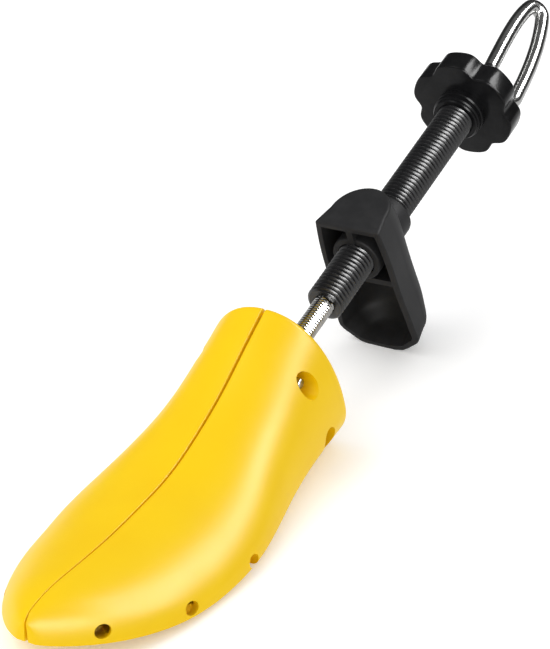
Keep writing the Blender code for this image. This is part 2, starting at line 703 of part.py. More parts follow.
def build_crosshead(parts, tools, rod_axis):
    """The nut that the rod draws along, with an upright pin on each side."""
    slide = bpy.data.objects.new("crosshead_slide", None)
    parts.objects.link(slide)
    slide.parent = rod_axis
    slide.location = rod_point(0.0, 0.0, CROSSHEAD_PLACE)
    low, high = ordered(
        rod_point(-CROSSHEAD_HALF_WIDTH, -CROSSHEAD_HALF_HEIGHT, -CROSSHEAD_LENGTH / 2),
        rod_point(CROSSHEAD_HALF_WIDTH, CROSSHEAD_HALF_HEIGHT, CROSSHEAD_LENGTH / 2),
    )
    nut = box("crosshead_nut", low, high, parts, "zinc_steel", slide, CROSSHEAD_EDGE)
    bore = cylinder("crosshead_bore", ROD_RADIUS + FIT, CROSSHEAD_LENGTH + OVERRUN, (0.0, 0.0, 0.0),
                    (0.0, 0.0, 1.0), tools, parent=slide)
    cut(nut, bore)
    half_length = CROSSHEAD_HALF_HEIGHT + RUNNING_FIT + SHELF_THICKNESS + CROSSHEAD_PIN_PROUD
    for word, side in (("right", 1.0), ("left", -1.0)):
        place = rod_point(side * CROSSHEAD_PIN_SPREAD, 0.0, 0.0)
        hole = cylinder("crosshead_hole_" + word, CROSSHEAD_PIN_RADIUS + FIT, 2 * half_length, place,
                        (0.0, 1.0, 0.0), tools, parent=slide)
        cut(nut, hole)
        cylinder("crosshead_pin_" + word, CROSSHEAD_PIN_RADIUS, 2 * half_length, place, (0.0, 1.0, 0.0),
                 parts, "bright_steel", slide, steps=16)


def build_tube(parts, tools, rod_axis):
    """The threaded tube, with the six-sided flange that drives it inside the knob."""
    flange_front = KNOB_FRONT + KNOB_FRONT_WALL + FIT
    rear = flange_front + TUBE_FLANGE_LENGTH
    tube = turned(
        "threaded_tube",
        [
            (0.0, rear), (TUBE_RADIUS, rear), (TUBE_RADIUS, TUBE_FRONT + TUBE_CHAMFER),
            (TUBE_RADIUS - TUBE_CHAMFER, TUBE_FRONT), (0.0, TUBE_FRONT),
        ],
        parts, "black_tube", rod_axis, TURN_STEPS,
    )
    thick = TUBE_FLANGE_LENGTH - FIT
    flange = plate("tube_flange", hexagon(TUBE_FLANGE_FLATS), thick,
                   Matrix.Translation(rod_point(0.0, 0.0, flange_front + thick / 2)), tools, parent=rod_axis)
    join(tube, flange)
    step = ROD_REAR_END + FIT
    wide = cylinder("tube_bore_wide", ROD_RADIUS + FIT, step - TUBE_FRONT + OVERRUN,
                    rod_point(0.0, 0.0, (step + TUBE_FRONT - OVERRUN) / 2), (0.0, 0.0, 1.0), tools,
                    parent=rod_axis, steps=TURN_STEPS)
    narrow = cylinder("tube_bore_narrow", HANDLE_RADIUS + FIT, rear + OVERRUN,
                      rod_point(0.0, 0.0, rear / 2 + OVERRUN / 2), (0.0, 0.0, 1.0), tools, parent=rod_axis)
    cut(tube, wide, narrow)


def knob_outline():
    count = KNOB_LOBES * LOBE_POINTS
    outline = []
    for i in range(count):
        angle = 2 * math.pi * i / count
        dip = KNOB_LOBE_DEPTH * ((1.0 - math.cos(KNOB_LOBES * angle)) / 2) ** KNOB_LOBE_POWER
        radius = KNOB_RADIUS - dip
        outline.append((radius * math.cos(angle + KNOB_TURN), radius * math.sin(angle + KNOB_TURN)))
    return outline


def build_knob(parts, tools, rod_axis):
    """The lobed knob, bored for the tube, with a six-sided pocket behind and its retainer."""
    middle = KNOB_FRONT + KNOB_THICKNESS / 2
    rear = KNOB_FRONT + KNOB_THICKNESS
    knob = plate("knob", knob_outline(), KNOB_THICKNESS, Matrix.Translation(rod_point(0.0, 0.0, middle)),
                 parts, "black_plastic", rod_axis)
    bevel_edges(knob, KNOB_EDGE, 2)
    hub = cylinder("knob_hub", KNOB_HUB_RADIUS, KNOB_HUB_LENGTH + KNOB_FRONT_WALL / 2,
                   rod_point(0.0, 0.0, KNOB_FRONT + (KNOB_FRONT_WALL / 2 - KNOB_HUB_LENGTH) / 2),
                   (0.0, 0.0, 1.0), tools, parent=rod_axis, steps=TURN_STEPS, chamfer=KNOB_EDGE / 2)
    join(knob, hub)
    bore = cylinder("knob_bore", TUBE_RADIUS + FIT, KNOB_THICKNESS + KNOB_HUB_LENGTH + OVERRUN,
                    rod_point(0.0, 0.0, KNOB_FRONT), (0.0, 0.0, 1.0), tools, parent=rod_axis, steps=TURN_STEPS)
    pocket_floor = KNOB_FRONT + KNOB_FRONT_WALL
    pocket = plate("knob_pocket", hexagon(TUBE_FLANGE_FLATS + 2 * FIT), OVERRUN,
                   Matrix.Translation(rod_point(0.0, 0.0, pocket_floor + OVERRUN / 2)), tools, parent=rod_axis)
    seat_floor = rear - RETAINER_THICKNESS - FIT
    seat = cylinder("retainer_seat", RETAINER_RADIUS + FIT, OVERRUN, rod_point(0.0, 0.0, seat_floor + OVERRUN / 2),
                    (0.0, 0.0, 1.0), tools, parent=rod_axis, steps=TURN_STEPS)
    cut(knob, bore, pocket, seat)
    turned(
        "knob_retainer",
        ring_profile(RETAINER_RADIUS, HANDLE_RADIUS + FIT, seat_floor + FIT, rear),
        parts, "black_plastic", rod_axis, TURN_STEPS, closed=True,
    )


def build_rear_stop(parts, tools, rod_axis):
    """The washer behind the knob and the pinned collar that holds it on the handle."""
    washer_front = KNOB_FRONT + KNOB_THICKNESS + FIT
    turned("stop_washer",
           ring_profile(WASHER_RADIUS, HANDLE_RADIUS + FIT, washer_front, washer_front + WASHER_THICKNESS),
           parts, "zinc_steel", rod_axis, SMALL_STEPS, closed=True)
    low = washer_front + WASHER_THICKNESS + FIT
    collar = turned(
        "stop_collar",
        ring_profile(REAR_COLLAR_RADIUS, HANDLE_RADIUS + FIT, low, low + REAR_COLLAR_LENGTH, COLLAR_CHAMFER),
        parts, "zinc_steel", rod_axis, SMALL_STEPS, closed=True,
    )
    place = rod_point(0.0, 0.0, low + REAR_COLLAR_LENGTH / 2)
    hole = cylinder("stop_collar_hole", COLLAR_PIN_RADIUS + FIT, 2 * REAR_COLLAR_RADIUS + OVERRUN, place,
                    (0.0, 1.0, 0.0), tools, parent=rod_axis)
    cut(collar, hole)
    cylinder("stop_collar_pin", COLLAR_PIN_RADIUS, 2 * (REAR_COLLAR_RADIUS - COLLAR_CHAMFER), place,
             (0.0, 1.0, 0.0), parts, "bright_steel", rod_axis, steps=12)
    return hole


def smooth_corner(before, corner, after, radius, steps=4):
    """Points of an arc of this radius in place of a corner."""
    back = (before - corner).normalized()
    on = (after - corner).normalized()
    half = back.angle(on) / 2
    reach = radius / math.tan(half)
    centre = corner + (back + on).normalized() * radius / math.sin(half)
    start = corner + back * reach - centre
    end = corner + on * reach - centre
    return [centre + start.slerp(end, i / steps).normalized() * radius for i in range(steps + 1)]


def handle_route():
    """The handle's centre line in its own plane: out from the axis, and along the rod."""

    def flat(out, along):
        return Vector((out, 0.0, along))

    start = flat(0.0, ROD_REAR_END + FIT)
    leave = flat(0.0, EYE_START)
    left = flat(-EYE_LEAN, EYE_TOP_CENTRE)
    centre = flat(EYE_TOP_RADIUS - EYE_LEAN, EYE_TOP_CENTRE)
    points = [start, leave, left]
    steps = 8
    for i in range(1, steps + 1):
        angle = math.pi + (EYE_TOP_END - math.pi) * i / steps
        points.append(centre + EYE_TOP_RADIUS * flat(math.cos(angle), math.sin(angle)))
    top_end = points[-1]
    bend = flat(EYE_BEND_OUT, EYE_BEND_PLACE)
    leg = flat(EYE_LEG_OUT, EYE_LEG_PLACE)
    steps = 7
    for i in range(1, steps + 1):
        t = i / steps
        points.append(top_end * (1.0 - t) ** 2 + bend * 2 * t * (1.0 - t) + leg * t**2)
    foot = flat(EYE_FOOT_OUT, EYE_FOOT_PLACE)
    tip = flat(2 * HANDLE_RADIUS + FIT, EYE_FOOT_PLACE)
    points += smooth_corner(leg, foot, tip, EYE_FOOT_ROUND, 5)
    points.append(tip)
    return points


def build_handle(parts, tools, rod_axis, pin_hole):
    """The bent steel handle, whose straight shank runs through the knob and the tube into the rod."""
    route = handle_route()
    curve = bpy.data.curves.new("handle_route", "CURVE")
    curve.dimensions = "3D"
    curve.bevel_depth = HANDLE_RADIUS
    curve.bevel_resolution = 3
    curve.use_fill_caps = True
    spline = curve.splines.new("POLY")
    spline.points.add(len(route) - 1)
    for point, place in zip(spline.points, route):
        point.co = (*place, 1.0)
    # Out from the axis is across, turned down about the rod.
    handle = curve_to_mesh("hook_handle", curve, Matrix.Rotation(-HANDLE_TURN, 4, "Z"), parts, "bright_steel", rod_axis)
    spigot_low = ROD_REAR_END - SPIGOT_LENGTH
    spigot_high = ROD_REAR_END + SPIGOT_LENGTH
    spigot = cylinder("handle_spigot", SPIGOT_RADIUS, spigot_high - spigot_low,
                      rod_point(0.0, 0.0, (spigot_high + spigot_low) / 2), (0.0, 0.0, 1.0), tools, parent=rod_axis)
    join(handle, spigot)
    cut(handle, pin_hole)


def heel_outline(level, inset):
    """Points round the heel block at a share of its height, in (across, along), from one front corner."""
    width = float(np.interp(level, [row[0] for row in HEEL_LEVEL_SHARES], [row[1] for row in HEEL_LEVEL_SHARES]))
    deep = float(np.interp(level, [row[0] for row in HEEL_LEVEL_SHARES], [row[2] for row in HEEL_LEVEL_SHARES]))
    half = HEEL_HALF_WIDTH * width - inset
    depth = HEEL_DEPTH * deep - inset
    straight = depth * HEEL_STRAIGHT_SHARE
    shoulder = half - straight * math.tan(HEEL_SIDE_TAPER)
    face = heel_face(HEEL_TOP - level * HEEL_HEIGHT)
    overrun = OVERRUN if inset else 0.0
    corner = half + overrun * math.tan(HEEL_SIDE_TAPER)
    points = [(corner, face - overrun)]
    steps = 12
    for i in range(steps + 1):
        angle = math.pi * i / steps
        points.append((shoulder * math.cos(angle), face + straight + (depth - straight) * math.sin(angle)))
    points.append((-corner, face - overrun))
    return points


def heel_face(up):
    """Where the heel block's open front stands along the rod, this far above the rod line."""
    return HEEL_FRONT + (HEEL_TOP - up) * math.tan(HEEL_LEAN)


def build_heel(parts, tools, rod_axis):
    """The heel block: a moulded shell open at the front, with a threaded boss on a shelf and a rib above it."""
    slide = bpy.data.objects.new("heel_slide", None)
    parts.objects.link(slide)
    slide.parent = rod_axis
    slide.rotation_euler = (0.0, 0.0, -HEEL_TURN)
    levels = [row[0] for row in HEEL_LEVEL_SHARES]

    def outer(work):
        rings = []
        for level in levels:
            up = HEEL_TOP - level * HEEL_HEIGHT
            rings.append([rod_point(x, up, a) for x, a in heel_outline(level, 0.0)])
        loft(work, rings)

    def hollow(work):
        rings = []
        top = HEEL_WALL / HEEL_HEIGHT
        bottom = 1.0 - 2 * HEEL_WALL / HEEL_HEIGHT
        inner = [top] + [level for level in levels if top < level < bottom] + [bottom]
        for level in inner:
            up = HEEL_TOP - level * HEEL_HEIGHT
            rings.append([rod_point(x, up, a) for x, a in heel_outline(level, HEEL_WALL)])
        loft(work, rings)

    heel = mesh_object("heel_block", outer, parts, "black_plastic", slide, Matrix.Identity(4))
    cavity = mesh_object("heel_cavity", hollow, tools, parent=slide, matrix=Matrix.Identity(4))
    far = HEEL_FRONT + HEEL_DEPTH + OVERRUN
    shelf_low = HEEL_SHELF_RISE - HEEL_SHELF_THICKNESS
    shelf_front = heel_face(HEEL_SHELF_RISE) + HEEL_RIB_SETBACK
    shelf = box("heel_shelf", *ordered(rod_point(-OVERRUN, shelf_low, shelf_front),
                                       rod_point(OVERRUN, HEEL_SHELF_RISE, far)), tools, parent=slide)
    rib_front = heel_face(0.0) + HEEL_RIB_SETBACK
    rib = box("heel_rib", *ordered(rod_point(-HEEL_RIB_THICKNESS / 2, 0.0, rib_front),
                                   rod_point(HEEL_RIB_THICKNESS / 2, HEEL_TOP, far)), tools, parent=slide)
    cut(cavity, shelf, rib)
    cut(heel, cavity)
    boss = cylinder("heel_boss", HEEL_BOSS_RADIUS, HEEL_BOSS_REAR - HEEL_BOSS_FRONT,
                    rod_point(0.0, 0.0, (HEEL_BOSS_REAR + HEEL_BOSS_FRONT) / 2), (0.0, 0.0, 1.0), tools,
                    parent=slide, steps=TURN_STEPS, chamfer=HEEL_BOSS_CHAMFER)
    join(heel, boss)
    bore = cylinder("heel_bore", TUBE_RADIUS + FIT, HEEL_BOSS_REAR + OVERRUN, rod_point(0.0, 0.0, HEEL_BOSS_REAR / 2 + OVERRUN / 2),
                    (0.0, 0.0, 1.0), tools, parent=slide, steps=TURN_STEPS)
    below = box("floor", (-FORM_HALF_WIDTH, STATION_Y, -OVERRUN), (FORM_HALF_WIDTH, STATION_Y + FORM_LENGTH, 0.0), tools)
    cut(heel, bore, below)


def handle_end_y():
    """How far the handle reaches past the station point along Y, at the outside of its top bend."""
    up = math.sin(HANDLE_TURN) * (EYE_TOP_RADIUS - EYE_LEAN)
    centre = EYE_TOP_CENTRE * math.cos(ROD_CLIMB) - up * math.sin(ROD_CLIMB)
    out_share = math.sin(HANDLE_TURN) * math.sin(ROD_CLIMB)
    return centre + EYE_TOP_RADIUS * math.hypot(math.cos(ROD_CLIMB), out_share) + HANDLE_RADIUS


STATION_HEIGHT = STATION_HEIGHT_SHARE * FORM_HEIGHT
STATION_TO_TOE = FORM_LENGTH + REAR_TO_STATION
CROSS_PIN_RISE = CROSS_PIN_RISE_SHARE * FORM_HEIGHT
BLOCK_HALF_HEIGHT = CROSS_PIN_RISE + CROSS_PIN_RADIUS + BLOCK_END_MARGIN
HINGE_HEIGHT = toe_rise(HINGE_SETBACK) + toe_height() / 2
KNUCKLE_LENGTH = (toe_height() - 2 * HINGE_COVER) / KNUCKLES - FIT
STATION_Y = (STATION_TO_TOE - handle_end_y()) / 2 - SEAM_GAP / 4
HINGE_ALONG = (HINGE_SETBACK - STATION_TO_TOE) * math.cos(ROD_CLIMB) + (HINGE_HEIGHT - STATION_HEIGHT) * math.sin(ROD_CLIMB)
REAR_FACE_ALONG = (FORM_LENGTH - STATION_TO_TOE) * math.cos(ROD_CLIMB) - STATION_HEIGHT * math.sin(ROD_CLIMB)


def main():
    clear_scene()
    parts = new_collection("two_way_shoe_stretcher")
    tools = new_collection("cutters")
    rod_axis = bpy.data.objects.new("rod_axis", None)
    parts.objects.link(rod_axis)
    rod_axis.matrix_world = rod_frame()
    hinge = bpy.data.objects.new("toe_hinge", None)
    parts.objects.link(hinge)
    hinge.matrix_world = hinge_frame()
    build_half(1.0, parts, tools, rod_axis, hinge)
    build_half(-1.0, parts, tools, rod_axis, hinge)
    build_spreader(parts, tools, rod_axis, hinge)
    build_rod(parts, tools, rod_axis)
    build_crosshead(parts, tools, rod_axis)
    build_tube(parts, tools, rod_axis)
    build_knob(parts, tools, rod_axis)
    pin_hole = build_rear_stop(parts, tools, rod_axis)
    build_handle(parts, tools, rod_axis, pin_hole)
    build_heel(parts, tools, rod_axis)
    bpy.context.view_layer.update()


main()
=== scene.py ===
"""The looks of a two-way shoe stretcher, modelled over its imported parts, with its stage, lights and camera.

World frame: +X across the form, +Y from the toe to the hook, +Z up, in metres. The rod frame has its Z
along the rod to the hook and its -Y up, and its origin is the station point, just behind the form.
"""

import contextlib
import math

import bpy
import numpy as np
from mathutils import Matrix, Vector


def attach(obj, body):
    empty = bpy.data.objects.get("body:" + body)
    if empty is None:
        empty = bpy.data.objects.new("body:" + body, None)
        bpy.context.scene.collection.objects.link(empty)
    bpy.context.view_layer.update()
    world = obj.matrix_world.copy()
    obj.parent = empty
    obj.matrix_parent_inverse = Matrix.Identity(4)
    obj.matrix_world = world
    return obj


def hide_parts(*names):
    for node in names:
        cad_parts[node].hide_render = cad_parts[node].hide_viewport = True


bl_info = {
    "name": "Two-way shoe stretcher",
    "version": (1, 0, 0),
    "blender": (4, 5, 0),
    "location": "3D View > Sidebar > Stretcher",
    "description": "Models a split plastic shoe stretcher with its screws, knob, heel block and hook",
    "category": "Object",
}

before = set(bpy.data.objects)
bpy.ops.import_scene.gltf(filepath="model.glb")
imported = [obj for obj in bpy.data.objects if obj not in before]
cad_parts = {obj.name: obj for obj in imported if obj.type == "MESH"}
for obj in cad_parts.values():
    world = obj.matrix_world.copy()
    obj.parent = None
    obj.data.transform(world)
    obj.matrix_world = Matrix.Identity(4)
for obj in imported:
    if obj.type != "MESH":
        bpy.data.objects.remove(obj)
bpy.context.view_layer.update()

# The rod line and the toe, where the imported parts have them.
STATION = Vector((0.0, -0.0087409, 0.0340013))
ROD_CLIMB = math.radians(16.0)
ROD = Matrix.Translation(STATION) @ Matrix.Rotation(ROD_CLIMB - math.pi / 2, 4, "X")
TOE_SETBACK = 0.18206
TOE_Y = STATION.y - TOE_SETBACK

# Bores, pins and room that several pieces share. OVERRUN and CUT_REACH are how far cutters reach past what
# they cut.
OVERRUN = 0.0200
CUT_REACH = 0.01
FIT = 0.0003
MERGE = 0.000001
BLANK_ROOM = 0.0002
ROD_BORE = 0.0043
WIRE_BORE = 0.0033
TUBE_BORE = 0.00755
PIN_RADIUS = 0.0020
PIN_HOLE = 0.0023
SMALL_PIN_RADIUS = 0.0010
SMALL_PIN_HOLE = 0.0013
SMALL_PIN_EDGE = 0.0002

# The two half forms. Shares are of the form's length, from the toe.
FORM_LENGTH = 0.1705
FORM_HALF_WIDTH = 0.0363
FORM_HEIGHT = 0.0576
FORM_WALL = 0.0030
SEAM = 0.00055
SEAM_AT_TOE = 0.00014
SEAM_CLOSING = 0.8
SEAM_SHIFTS = (-0.0016, 0.0022)
SEAM_SPARE = 0.00006
SEAM_EDGE_AT_TOE, SEAM_EDGE_GAIN = 0.4, 1.1
TOE_ROUND_LENGTH = 0.0507
TOE_LIFT = 0.0108
TOE_LIFT_LENGTH = 0.0640
TOE_EDGE_ROUND = 0.0047
REAR_EDGE_ROUND = 0.0035
SOLE_TRIM = 0.0006
CROWN_POWERS = (1.75, 2.207)
SOLE_POWER = 2.125
WIDTH_SHARES = (
    (0.0, 0.636), (0.073, 0.740), (0.152, 0.815), (0.242, 0.887), (0.364, 0.970),
    (0.485, 0.988), (0.606, 0.907), (0.727, 0.804), (0.848, 0.753), (1.0, 0.733),
)
HEIGHT_SHARES = (
    (0.0, 0.170), (0.061, 0.260), (0.152, 0.329), (0.273, 0.372), (0.394, 0.402),
    (0.515, 0.441), (0.636, 0.546), (0.758, 0.690), (0.879, 0.860), (1.0, 1.014),
)
WAIST_SHARES = ((0.0, 0.109), (0.35, 0.109), (1.0, 0.344))
LEAN_START_SHARE = 0.45
SECTIONS, SECTION_POINTS = 84, 61
HOLLOW_SECTIONS, HOLLOW_POINTS = 30, 31
SIDE_POINTS = 57
CAVITY_START = 0.0150
CAVITY_REAR_WALL = 0.0032
RIB_SHARES = (0.22, 0.37, 0.52)
RIB_SETBACK = 0.003
RIB_HALF = 0.001
RIB_TOP = 0.08
# Each pit: its share of the length, its height, how far it is turned to the toe, and its depth.
PITS = (
    (0.0915, 0.0114, math.radians(37.7), 0.0100),
    (0.2753, 0.0055, math.radians(18.6), 0.0045),
    (0.476, 0.0047, math.radians(8.0), 0.0045),
)
PIT_TILT = math.radians(20.0)
PIT_RADIUS = 0.0026
PIT_OVAL = (1.14, 0.88)
LEFT_PIT_BACK = 0.0045
LEFT_PIT_DROP = 0.0024

# Inside the form, along the rod from the station point, or out from it.
CROSS_PIN_RISE = 0.0124992
BLOCK_PLACE = -0.0360
BLOCK_HALVES = (0.0046, CROSS_PIN_RISE + 0.0020 + 0.0023, 0.004)
PIECE_EDGE = 0.0008
CROSS_PIN_HALF = 0.0195
CROSS_PIN_EDGE = 0.0006
BOSS_RADIUS = 0.0078
BOSS_START = 0.0050
WELL_RADIUS = 0.0051
WELL_OVAL = 0.80
WELL_FLOOR = 0.0155
SLOT_HALF = 0.0024
SLOT_HEIGHT = 0.0222
WAY_RADIUS = 0.0044
WAY_REACH = 0.0100
CROSSHEAD_PLACE = -0.0635
CROSSHEAD_TRAVEL = 0.0100
CROSSHEAD_HALVES = (0.0195, 0.0058, 0.005)
CROSSHEAD_PIN_OUT = 0.0160
CROSSHEAD_PIN_HALF = 0.0108
CROSSHEAD_PIN_EDGE = 0.0004
SHELF_START = 0.0022
SHELF_RISE, SHELF_TOP = 0.0062, 0.0088
SHELF_FRONT, SHELF_REAR = 0.0052, 0.0080
HALF_SPREAD = math.radians(4.5)
HINGE_SETBACK = 0.0059
HINGE_MARGIN = 0.0021
KNUCKLE_RADIUS = 0.0026
POCKET_RADIUS = 0.0030

# The rod, its collars and its nut, along the rod.
ROD_START, ROD_END = -0.0755, 0.0343
ROD_THREAD_DEPTH = 0.000767
ROD_CHAMFER = 0.0006
FLAT_START = -0.0260
SOCKET_FLOOR = 0.0260
PAST_ROD = 0.05
COLLAR_PLACES = (("front", BLOCK_PLACE - 0.0093), ("rear", BLOCK_PLACE + 0.0043))
COLLAR_RADIUS = 0.0080
COLLAR_LENGTH = 0.0050
COLLAR_CHAMFER = 0.0005
COLLAR_PIN_HALF = 0.0075
NUT_PLACE = (-0.0749, -0.0709)
NUT_BORE_PLACE = (-0.08, -0.06)
NUT_HALF = 0.0065
NUT_EDGE = 0.0004

# The hook's wire in its own plane: out from the axis, and along the rod.
HOOK_TURN = math.radians(48.0)
HOOK_START, HOOK_STRAIGHT, HOOK_LEAVE = (0.0, 0.0346), (0.0, 0.1540), (0.0, 0.1560)
HOOK_BOW = (-0.0010, 0.1690)
EYE_RADIUS = 0.0038
EYE_MIDDLE = (EYE_RADIUS - 0.0019, 0.1996)
EYE_LEAN = math.radians(14.0)
EYE_END = math.radians(25.0)
EYE_LEAD = 0.0110
HOOK_BEND, HOOK_LEG = (0.0122, 0.1869), (0.0147, 0.1620)
HOOK_FOOT, HOOK_TIP = (0.0157, 0.1540), (0.0063, 0.1540)
FOOT_ROUND = 0.0040
WIRE_EDGE = 0.0004
SPIGOT_PLACE = (0.0263, 0.0423)
HOOK_PIN_PLACE = 0.1474

# The tube, the knob and the stop behind it, along the rod.
TUBE_START = 0.0145
TUBE_THREAD_DEPTH = 0.001227
TUBE_CHAMFER = 0.0009
TUBE_STEP = 0.0346
FLANGE_FRONT = 0.1373
FLANGE_LENGTH = 0.0031
FLANGE_HALF = 0.0085
KNOB_FRONT = 0.1328
KNOB_THICKNESS = 0.0100
KNOB_LOBES = 6
KNOB_TURN = math.radians(22.0)
KNOB_EDGE = 0.0008
KNOB_BORE_PLACE = (0.12, 0.15)
DIP_POWER = 3.2
HUB_FRONT = 0.1263
HUB_PROFILE = (
    (0.0060, KNOB_FRONT + 0.001), (0.0100, KNOB_FRONT + 0.001), (0.0100, 0.1308), (0.0095, 0.1304),
    (0.0095, 0.1299), (0.0099, 0.1295), (0.0099, 0.1281), (0.0094, 0.1277),
    (0.0094, HUB_FRONT + 0.0005), (0.0090, HUB_FRONT), (0.0060, HUB_FRONT),
)
FLANGE_POCKET_HALF = 0.0088
FLANGE_POCKET_FLOOR = KNOB_FRONT + 0.0028
SEAT_RADIUS = 0.0128
SEAT_FLOOR = 0.1410
RETAINER_RADIUS = 0.0125
RETAINER_PLACE = (0.1413, 0.1428)
RETAINER_EDGE = 0.0003
WASHER_RADIUS = 0.0065
WASHER_PLACE = (0.1431, 0.1443)
WASHER_EDGE = 0.0002
STOP_PLACE = 0.1446
STOP_RADIUS = 0.0055
STOP_PIN_HALF = 0.0050
BEHIND_ALL = 0.16

# The heel block. Each row: a share of its height from the top, then the shares of its width and its depth.
HEEL_LEVEL_SHARES = (
    (0.0, 0.774, 0.932), (0.13, 0.832, 0.988), (0.27, 0.872, 0.982), (0.42, 0.890, 0.973),
    (0.57, 0.920, 0.966), (0.71, 0.967, 0.942), (0.82, 0.995, 0.868), (0.90, 0.929, 0.746),
    (0.955, 0.691, 0.604), (0.985, 0.490, 0.475), (1.0, 0.220, 0.356),
)
HEEL_TOP = 0.0172
HEEL_HEIGHT = 0.0662
HEEL_HALF_WIDTH = 0.0174
HEEL_DEPTH = 0.0252
HEEL_FRONT = 0.0387
HEEL_FRONT_LEAN = math.tan(math.radians(5.6))
HEEL_TAPER = math.tan(math.radians(11.6))
HEEL_STRAIGHT_SHARE = 0.42
HEEL_TURN = math.radians(-2.1)
HEEL_EDGE = 0.0011
HEEL_BACK = 0.0846
HEEL_RIB_THICKNESS = 0.0025
HEEL_RIB_SETBACK = 0.0005
HEEL_SHELF_LOW, HEEL_SHELF_HIGH = -0.0125, -0.0100
HEEL_SHELF_SETBACK = 0.0012
HEEL_BOSS_RADIUS = 0.0098
HEEL_BOSS_PLACE = (0.0405, 0.0675)

# The stage. Each softbox: turn, rise and roll in degrees, then distance, width and height in metres.
LIT_MIDDLE = STATION - Vector((0.0, 0.05, 0.0))
FLOOR_SIZE = 1.6
KEY_BOX = (-45.0, 58.0, 0.0, 1.5, 0.8, 0.8)
SHINE_FRONT_BOX = (44.0, 24.0, 30.0, 1.1, 1.90, 0.46)
SHINE_REAR_BOX = (125.0, 41.0, 22.0, 1.1, 0.85, 0.38)
SHINE_REAR_SHARE = 0.46
CAMERA_LENS = 172.24
CAMERA_PLACE = (0.40938334, -0.73707936, 0.48627785)
CAMERA_TURN = (
    (0.87044449, -0.21761112, 0.4415561),
    (0.49184985, 0.42136362, -0.76192941),
    (-0.02025136, 0.88039656, 0.47380564),
)


# Tools.


def rod_point(across, up, along):
    return Vector((across, -up, along))


def fresh():
    """Object mode, with nothing selected."""
    if bpy.context.object and bpy.context.object.mode != "OBJECT":
        bpy.ops.object.mode_set(mode="OBJECT")
    bpy.ops.object.select_all(action="DESELECT")


def pick(obj):
    fresh()
    obj.select_set(True)
    bpy.context.view_layer.objects.active = obj


@contextlib.contextmanager
def editing(obj):
    """Edit mode on one object, with all of its mesh selected."""
    pick(obj)
    bpy.ops.object.mode_set(mode="EDIT")
    bpy.ops.mesh.select_all(action="SELECT")
    yield
    bpy.ops.object.mode_set(mode="OBJECT")


def turn_outward():
    """Turns every face of the mesh in edit mode outward."""
    bpy.ops.mesh.select_all(action="SELECT")
    bpy.ops.mesh.normals_make_consistent(inside=False)


def settled(name, matrix=None):
    """Names the new primitive, and puts its place, turn and size into its mesh."""
    obj = bpy.context.object
    obj.name = obj.data.name = name
    bpy.context.view_layer.update()
    if matrix is not None:
        obj.matrix_world = matrix @ obj.matrix_world
    bpy.ops.object.transform_apply(location=True, rotation=True, scale=True)
    return obj


def moved(obj, matrix):
    """Sets a shape down by a matrix, and puts its place and turn into its mesh."""
    obj.matrix_world = matrix
    pick(obj)
    bpy.ops.object.transform_apply(location=True, rotation=True, scale=True)
    return obj


def bar(name, radius, low, high, matrix=None, sides=48):
    """A round bar along Z between two heights."""
    fresh()
    bpy.ops.mesh.primitive_cylinder_add(
        vertices=sides, radius=radius, depth=high - low, location=(0.0, 0.0, (low + high) / 2)
    )
    return settled(name, matrix)


def hexagon(name, half_flats, low, high):
    """A six-sided bar along the rod, given half its width over the flats."""
    turn = ROD @ Matrix.Rotation(math.pi / 6, 4, "Z")
    return bar(name, half_flats / math.cos(math.pi / 6), low, high, turn, 6)


def block(name, low, high, matrix=None):
    low, high = Vector(low), Vector(high)
    fresh()
    size = [abs(x) for x in high - low]
    bpy.ops.mesh.primitive_cube_add(size=1.0, location=(low + high) / 2, scale=size)
    return settled(name, matrix)


def across_at(place):
    """The frame of a bar that lies across the rod, with its Z to the right, at a place in the rod frame."""
    return ROD @ Matrix.Translation(place) @ Matrix.Rotation(math.pi / 2, 4, "Y")


def upright_at(place):
    """The frame of a bar that stands square to the rod, with its Z up."""
    return ROD @ Matrix.Translation(place) @ Matrix.Rotation(math.pi / 2, 4, "X")


def mend(obj, merge=MERGE):
    """Merges doubles and turns the faces outward."""
    with editing(obj):
        bpy.ops.mesh.remove_doubles(threshold=merge)
        turn_outward()
    return obj


def apply(obj, modifier):
    pick(obj)
    bpy.ops.object.modifier_apply(modifier=modifier.name)
    return obj


def combine(obj, others, operation):
    for other in others:
        step = obj.modifiers.new("combine", "BOOLEAN")
        step.operation = operation
        step.solver = "EXACT"
        step.object = other
        apply(obj, step)
    for other in others:
        bpy.data.objects.remove(other, do_unlink=True)
    return obj


def cut(obj, *cutters):
    return combine(obj, cutters, "DIFFERENCE")


def join(obj, *others):
    return combine(obj, others, "UNION")


def soften(obj, width, segments=2, angle=math.radians(40.0)):
    """Rounds the edges that turn by more than an angle."""
    bevel = obj.modifiers.new("soft edges", "BEVEL")
    bevel.width = width
    bevel.segments = segments
    bevel.limit_method = "ANGLE"
    bevel.angle_limit = angle
    return apply(obj, bevel)


def finish(obj, body, node, slot, look=None):
    """Shades a piece, gives it its slot's finish or another, and lets it stand for its node on its body."""
    pick(obj)
    bpy.ops.object.shade_smooth_by_angle(angle=math.radians(32.0))
    obj.data.materials.clear()
    obj.data.materials.append(surface(look or slot))
    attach(obj, body)
    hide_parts(node)
    return obj


def small_pin(name, half_length, place, body, node):
    pin = soften(bar(name, SMALL_PIN_RADIUS, -half_length, half_length, place, 32), SMALL_PIN_EDGE)
    return finish(pin, body, node, "bright_steel")


def small_hole(place):
    return bar("hole", SMALL_PIN_HOLE, -OVERRUN, OVERRUN, place, 32)


